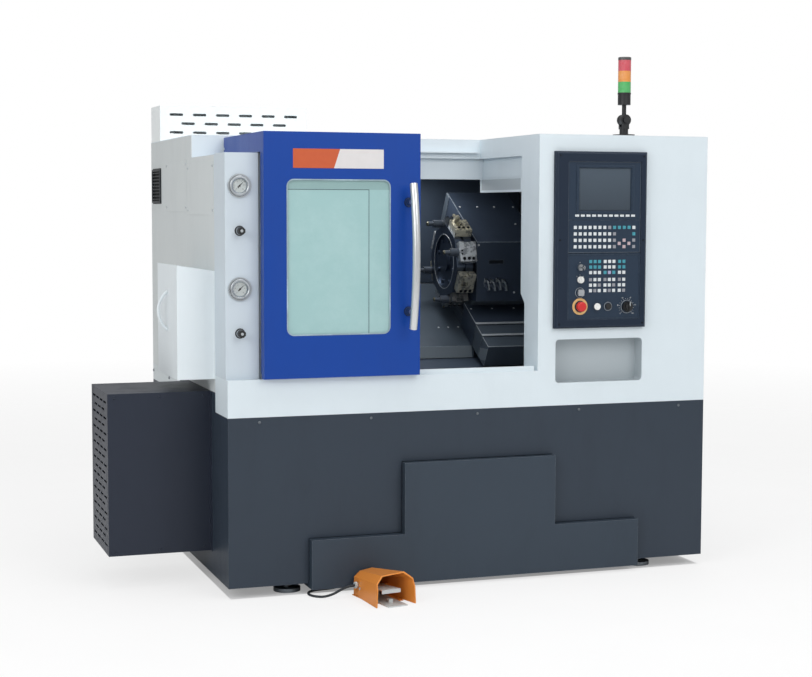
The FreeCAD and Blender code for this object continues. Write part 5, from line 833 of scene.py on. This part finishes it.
# ---- Gauges and pressure valves ----
# Two flanged pressure gauges in satin steel cases with printed dials behind glass, each above the
# black knob of its valve.
case_steel = steel("case_steel", "#bdc3c7", 0.28, metallic=0.75)
dress(case_steel, "gauge_cases")
dress(button_black, "needle_upper", "needle_lower", "valve_knob_upper", "valve_knob_lower")
gauge_x, column_front = -0.715, -0.5463
dials, scales_and_shade_rings, bands, panes, bezels, gauge_screws = (bmesh.new() for k in range(6))
for dial_z in (1.487, 1.119):
    turned(dials, [(0.0020, 0.0), (0.0276, 0.0), (0.0276, 0.0006), (0.0020, 0.0006)],
           facing_front(gauge_x, column_front - 0.0020, dial_z), 40)
    over = facing_front(gauge_x, column_front - 0.00265, dial_z)
    ticks(scales_and_shade_rings, 11, 225, -45, 0.0205, 0.0250, over, 0.0006)
    ticks(scales_and_shade_rings, 51, 225, -45, 0.0230, 0.0250, over, 0.0003)
    numerals(scales_and_shade_rings, range(0, 11, 2), 0.0052, 0.0165, 225, -27, over)
    turned(bands, [(0.0254, 0.0), (0.0268, 0.0), (0.0268, 0.0002), (0.0254, 0.0002)], over, 40)
    flange = column_front - 0.0050
    # A dark ring on the flange just outside the bezel is a painted shade.
    turned(scales_and_shade_rings, [(0.0371, 0.0), (0.0379, 0.0), (0.0379, 0.0004), (0.0371, 0.0004)],
           facing_front(gauge_x, flange, dial_z), 40)
    for third in range(3):
        aim = math.radians(90 + 120 * third)
        screw(gauge_screws, facing_front(gauge_x + 0.0395 * math.cos(aim), flange,
                                         dial_z + 0.0395 * math.sin(aim)), 0.0022)
    turned(panes, [(0.0, 0.0), (0.0279, 0.0), (0.0279, 0.0008), (0.0, 0.0012)],
           facing_front(gauge_x, column_front - 0.0095, dial_z), 40)
    turned(bezels, [(0.0281, -0.0012), (0.0281, 0.0006), (0.0305, 0.0020), (0.0345, 0.0018), (0.0364, 0.0004),
                    (0.0366, -0.0040), (0.0362, -0.0040), (0.0360, -0.0012)],
           facing_front(gauge_x, column_front - 0.0120, dial_z), 48)
piece("gauge_dials", dials, moulded("dial_white", "#e4e8e8", 0.4), "machine")
piece("gauge_scales", scales_and_shade_rings, moulded("print_black", "#162032", 0.5), "machine")
piece("gauge_bands", bands, moulded("band_blue", "#5e7f9e", 0.5), "machine")
piece("gauge_bezels", bezels, case_steel, "machine")
piece("gauge_screws", gauge_screws, small_zinc, "machine")
pane_glass = Finish("pane_glass")
film = pane_glass.noise(60, 4)
pane_glass.set(Base_Color=pane_glass.mix(film, paint("#f2f6f6"), paint("#ffffff")), IOR=1.45,
               Roughness=0.02 + film * 0.04, Transmission_Weight=1.0)
piece("gauge_panes", panes, pane_glass, "machine")

flanges = bmesh.new()
for valve, valve_z in (("upper", 1.327), ("lower", 0.960)):
    turned(flanges, [(0.0146, 0.0), (0.0180, 0.0), (0.0184, 0.0010), (0.0176, 0.0030), (0.0146, 0.0030)],
           facing_front(gauge_x, column_front, valve_z), 32)
    tip = bmesh.new()
    turned(tip, [(0.0, 0.0015), (0.0042, 0.0015), (0.0052, 0.0006), (0.0052, -0.0010), (0.0, -0.0010)],
           facing_front(gauge_x, column_front - 0.0360, valve_z), 20)
    piece("valve_tip_" + valve, tip, small_zinc, "valve_knob_" + valve)
piece("valve_flanges", flanges, button_black, "machine")


# ---- Signal lamp ----
# Three ribbed lens rings of clear coloured plastic, green, amber and red from below, stacked on a
# black socket with a tilting neck and a round foot that is screwed to the roof.
lamp_x, lamp_y = 0.852, -0.4433
dress(button_black, "lamp_foot", "lamp_column")
lens_plastic = Finish("signal_lens")
lens_angle = lens_plastic.maths("ARCTAN2", lens_plastic.place("Y") - lamp_y, lens_plastic.place("X") - lamp_x)
ribs = lens_plastic.maths("SINE", lens_angle * 36.0)
lens_z = lens_plastic.place("Z")
lens_shade = paint("#2aa84c")
for seam_z, colour_above in ((1.9031, "#df8a22"), (1.9452, "#c73548"), (1.9872, "#1d1e20")):
    lens_shade = lens_plastic.mix(lens_z > seam_z, lens_shade, paint(colour_above))
lens_shade = lens_plastic.mix(lens_plastic.noise(40, 3) * 0.12, lens_shade, paint("#ffffff"))
lens_plastic.set(Base_Color=lens_shade, Roughness=0.16 + lens_plastic.noise(70, 3) * 0.08, Coat_Weight=0.2)
lens_plastic.relief(ribs, 0.0004, 0.6)
dress(lens_plastic, "signal_lenses")
lamp_screws = bmesh.new()
for quarter in range(4):
    aim = math.radians(45 + 90 * quarter)
    screw(lamp_screws, shift(lamp_x + 0.031 * math.cos(aim), lamp_y + 0.031 * math.sin(aim), 1.694), 0.003)
piece("lamp_screws", lamp_screws, small_zinc, "machine")


# ---- Foot switch ----
# A cast hood in orange enamel over a zinc plated treadle with raised bars, on a flat base plate.
# A gland in its left side holds the cord.
dress(coated("hood_enamel", "#e08c3c", 0.3, 0.2, 0.00012, "#f0bf88"), "foot_switch_guard")
dress(steel("plate_zinc", "#d3d9da", 0.4, metallic=0.3), "foot_switch_base", "foot_switch_treadle")


def in_foot_switch(x, y, z):
    """A place in the foot switch, from the middle of its open front."""
    return shift(-0.224, -0.8463145, 0.0) @ turn(9.7, "Z") @ shift(x, y, z)


bars = bmesh.new()
fall, bar_pitch = 10 / 124, 0.013
for row in range(7):
    block(bars, (-0.032, -0.0018, 0.0), (0.032, 0.0018, 0.0014),
          in_foot_switch(0, 0.046 + row * bar_pitch, 0.0514 - row * bar_pitch * fall)
          @ turn(-math.degrees(math.atan(fall)), "X"), 0.0005)
piece("treadle_bars", bars, steel("tread_zinc", "#d9dfe0", 0.35, metallic=0.3), "treadle")
hood_screws = bmesh.new()
for side in (-1, 1):
    screw(hood_screws, in_foot_switch(side * 0.0585, 0.168, 0.034) @ turn(90 * side, "Y"), 0.006)
piece("hood_screws", hood_screws, small_zinc, "machine")


# ---- Foot switch cord ----
# A round rubber cable. It leaves the gland in the left side of the foot switch, drops to the
# floor, makes one loose hairpin and runs back under the tank to a junction box on the bed.
cord_route = [(-0.313, -0.669784, 0.044), (-0.346, -0.675424, 0.044), (-0.376, -0.675315, 0.033),
              (-0.404, -0.666315, 0.015), (-0.437, -0.653315, 0.0046), (-0.466, -0.631315, 0.0046),
              (-0.478, -0.597315, 0.0046), (-0.468, -0.561315, 0.0046), (-0.44, -0.539315, 0.0046),
              (-0.406, -0.533315, 0.0046), (-0.37, -0.529315, 0.0046), (-0.34, -0.513315, 0.0046),
              (-0.322, -0.481315, 0.0046), (-0.315, -0.439315, 0.0046), (-0.311, -0.391315, 0.005),
              (-0.306, -0.341315, 0.007), (-0.302, -0.293315, 0.0085), (-0.302, -0.249315, 0.0085)]
cord_line = bpy.data.curves.new("switch_cord", "CURVE")
cord_line.dimensions = "3D"
cord_line.bevel_depth = 0.0045
cord_line.bevel_resolution = 6
cord_line.use_fill_caps = True
cord_spline = cord_line.splines.new("NURBS")
cord_spline.points.add(len(cord_route) - 1)
for knot, place in zip(cord_spline.points, cord_route):
    knot.co = (*place, 1.0)
cord_spline.order_u = 3
cord_spline.use_endpoint_u = True
cord_spline.resolution_u = 10
switch_cord = bpy.data.objects.new("switch_cord", cord_line)
bpy.context.collection.objects.link(switch_cord)
cord_line.materials.append(rubber("cord_rubber", "#23282d").material)
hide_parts("foot_switch_cord")
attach(switch_cord, "machine")


# ---- Room, lamps and camera ----
# A pale floor that fades into a white surround, three soft lamps as in a bright hall and a small
# one in the work area, and a camera at standing height, left of the machine's middle.
floor_mesh = bpy.data.meshes.new("floor")
disc = bmesh.new()
bmesh.ops.create_circle(disc, cap_ends=True, segments=96, radius=14.0)
disc.to_mesh(floor_mesh)
disc.free()
floor = bpy.data.objects.new("floor", floor_mesh)
floor.location.z = -0.0005
bpy.context.collection.objects.link(floor)
ground = Finish("hall_floor")
ground.set(Base_Color=ground.mix(ground.noise(3, 4), paint("#f2f2f2"), paint("#fafafa")), Roughness=0.65)
glow = ground.node("ShaderNodeEmission", None, {"Color": (1, 1, 1, 1), "Strength": 1.0})
# The floor glows less over the machine's footprint, a painted shadow under the base.
shadow_under_machine = ground.inside(x=(-0.7585, 1.1415), y=(-0.5633, 0.8567))
glowing = ground.node("ShaderNodeLightPath", output="Is Camera Ray") * (0.72 - shadow_under_machine * 0.45)
plain = Reading(ground, ground.shader.outputs[0])
lit = ground.node("ShaderNodeMixShader", None, {0: glowing, 1: plain, 2: glow})
away = ground.node("ShaderNodeVectorMath", {"operation": "LENGTH"}, {0: ground.place()}, output=1)
clear = ground.node("ShaderNodeBsdfTransparent")
faded = ground.node("ShaderNodeMixShader", None, {0: ground.between(away, 3.0, 9.0), 1: lit, 2: clear})
ground.feed(ground.output.inputs[0], faded)
floor_mesh.materials.append(ground.material)

# The air is white where the camera, or glass in front of it, looks at it, and gives a plain light.
hall = bpy.data.worlds.new("hall")
bpy.context.scene.world = hall
air = Nodes(hall)
looked_at = air.maths("MAXIMUM", *(air.node("ShaderNodeLightPath", output=ray)
                                   for ray in ("Is Camera Ray", "Is Transmission Ray")))
sky = air.node("ShaderNodeBackground", None, {"Color": (1, 1, 1, 1), "Strength": looked_at * 0.45 + 0.55})
air.feed(air.tree.nodes.new("ShaderNodeOutputWorld").inputs[0], sky)

for lamp_name, where, target, width, power in (
        ("window_light", (1.5, -5.4, 4.2), (-0.1, -0.2, 0.9), 3.2, 94.0),
        ("left_light", (-4.6, -3.6, 3.2), (-0.4, 0.0, 0.8), 2.6, 80.0),
        ("ceiling_light", (0.2, -0.6, 5.0), (0.2, 0.0, 1.0), 3.6, 90.0),
        ("work_area_light", (0.24, 0.30, 1.585), (0.24, 0.20, 1.0), 0.20, 1.8)):
    light = bpy.data.lights.new(lamp_name, "AREA")
    light.energy = power
    light.size = width
    lamp = bpy.data.objects.new(lamp_name, light)
    lamp.location = where
    lamp.rotation_euler = (Vector(target) - Vector(where)).to_track_quat("-Z", "Y").to_euler()
    bpy.context.collection.objects.link(lamp)

camera = bpy.data.cameras.new("viewpoint")
camera.lens = 72.57
camera.sensor_width = 36.0
camera.clip_end = 60.0
viewpoint = bpy.data.objects.new("viewpoint", camera)
viewpoint.location = (-2.0818, -6.2590, 1.4047)
viewpoint.rotation_euler = (turn(-19.26, "Z") @ turn(90 - 4.51, "X") @ turn(0.15, "Z")).to_euler()
bpy.context.collection.objects.link(viewpoint)
bpy.context.scene.camera = viewpoint
bpy.context.scene.view_settings.view_transform = "Standard"
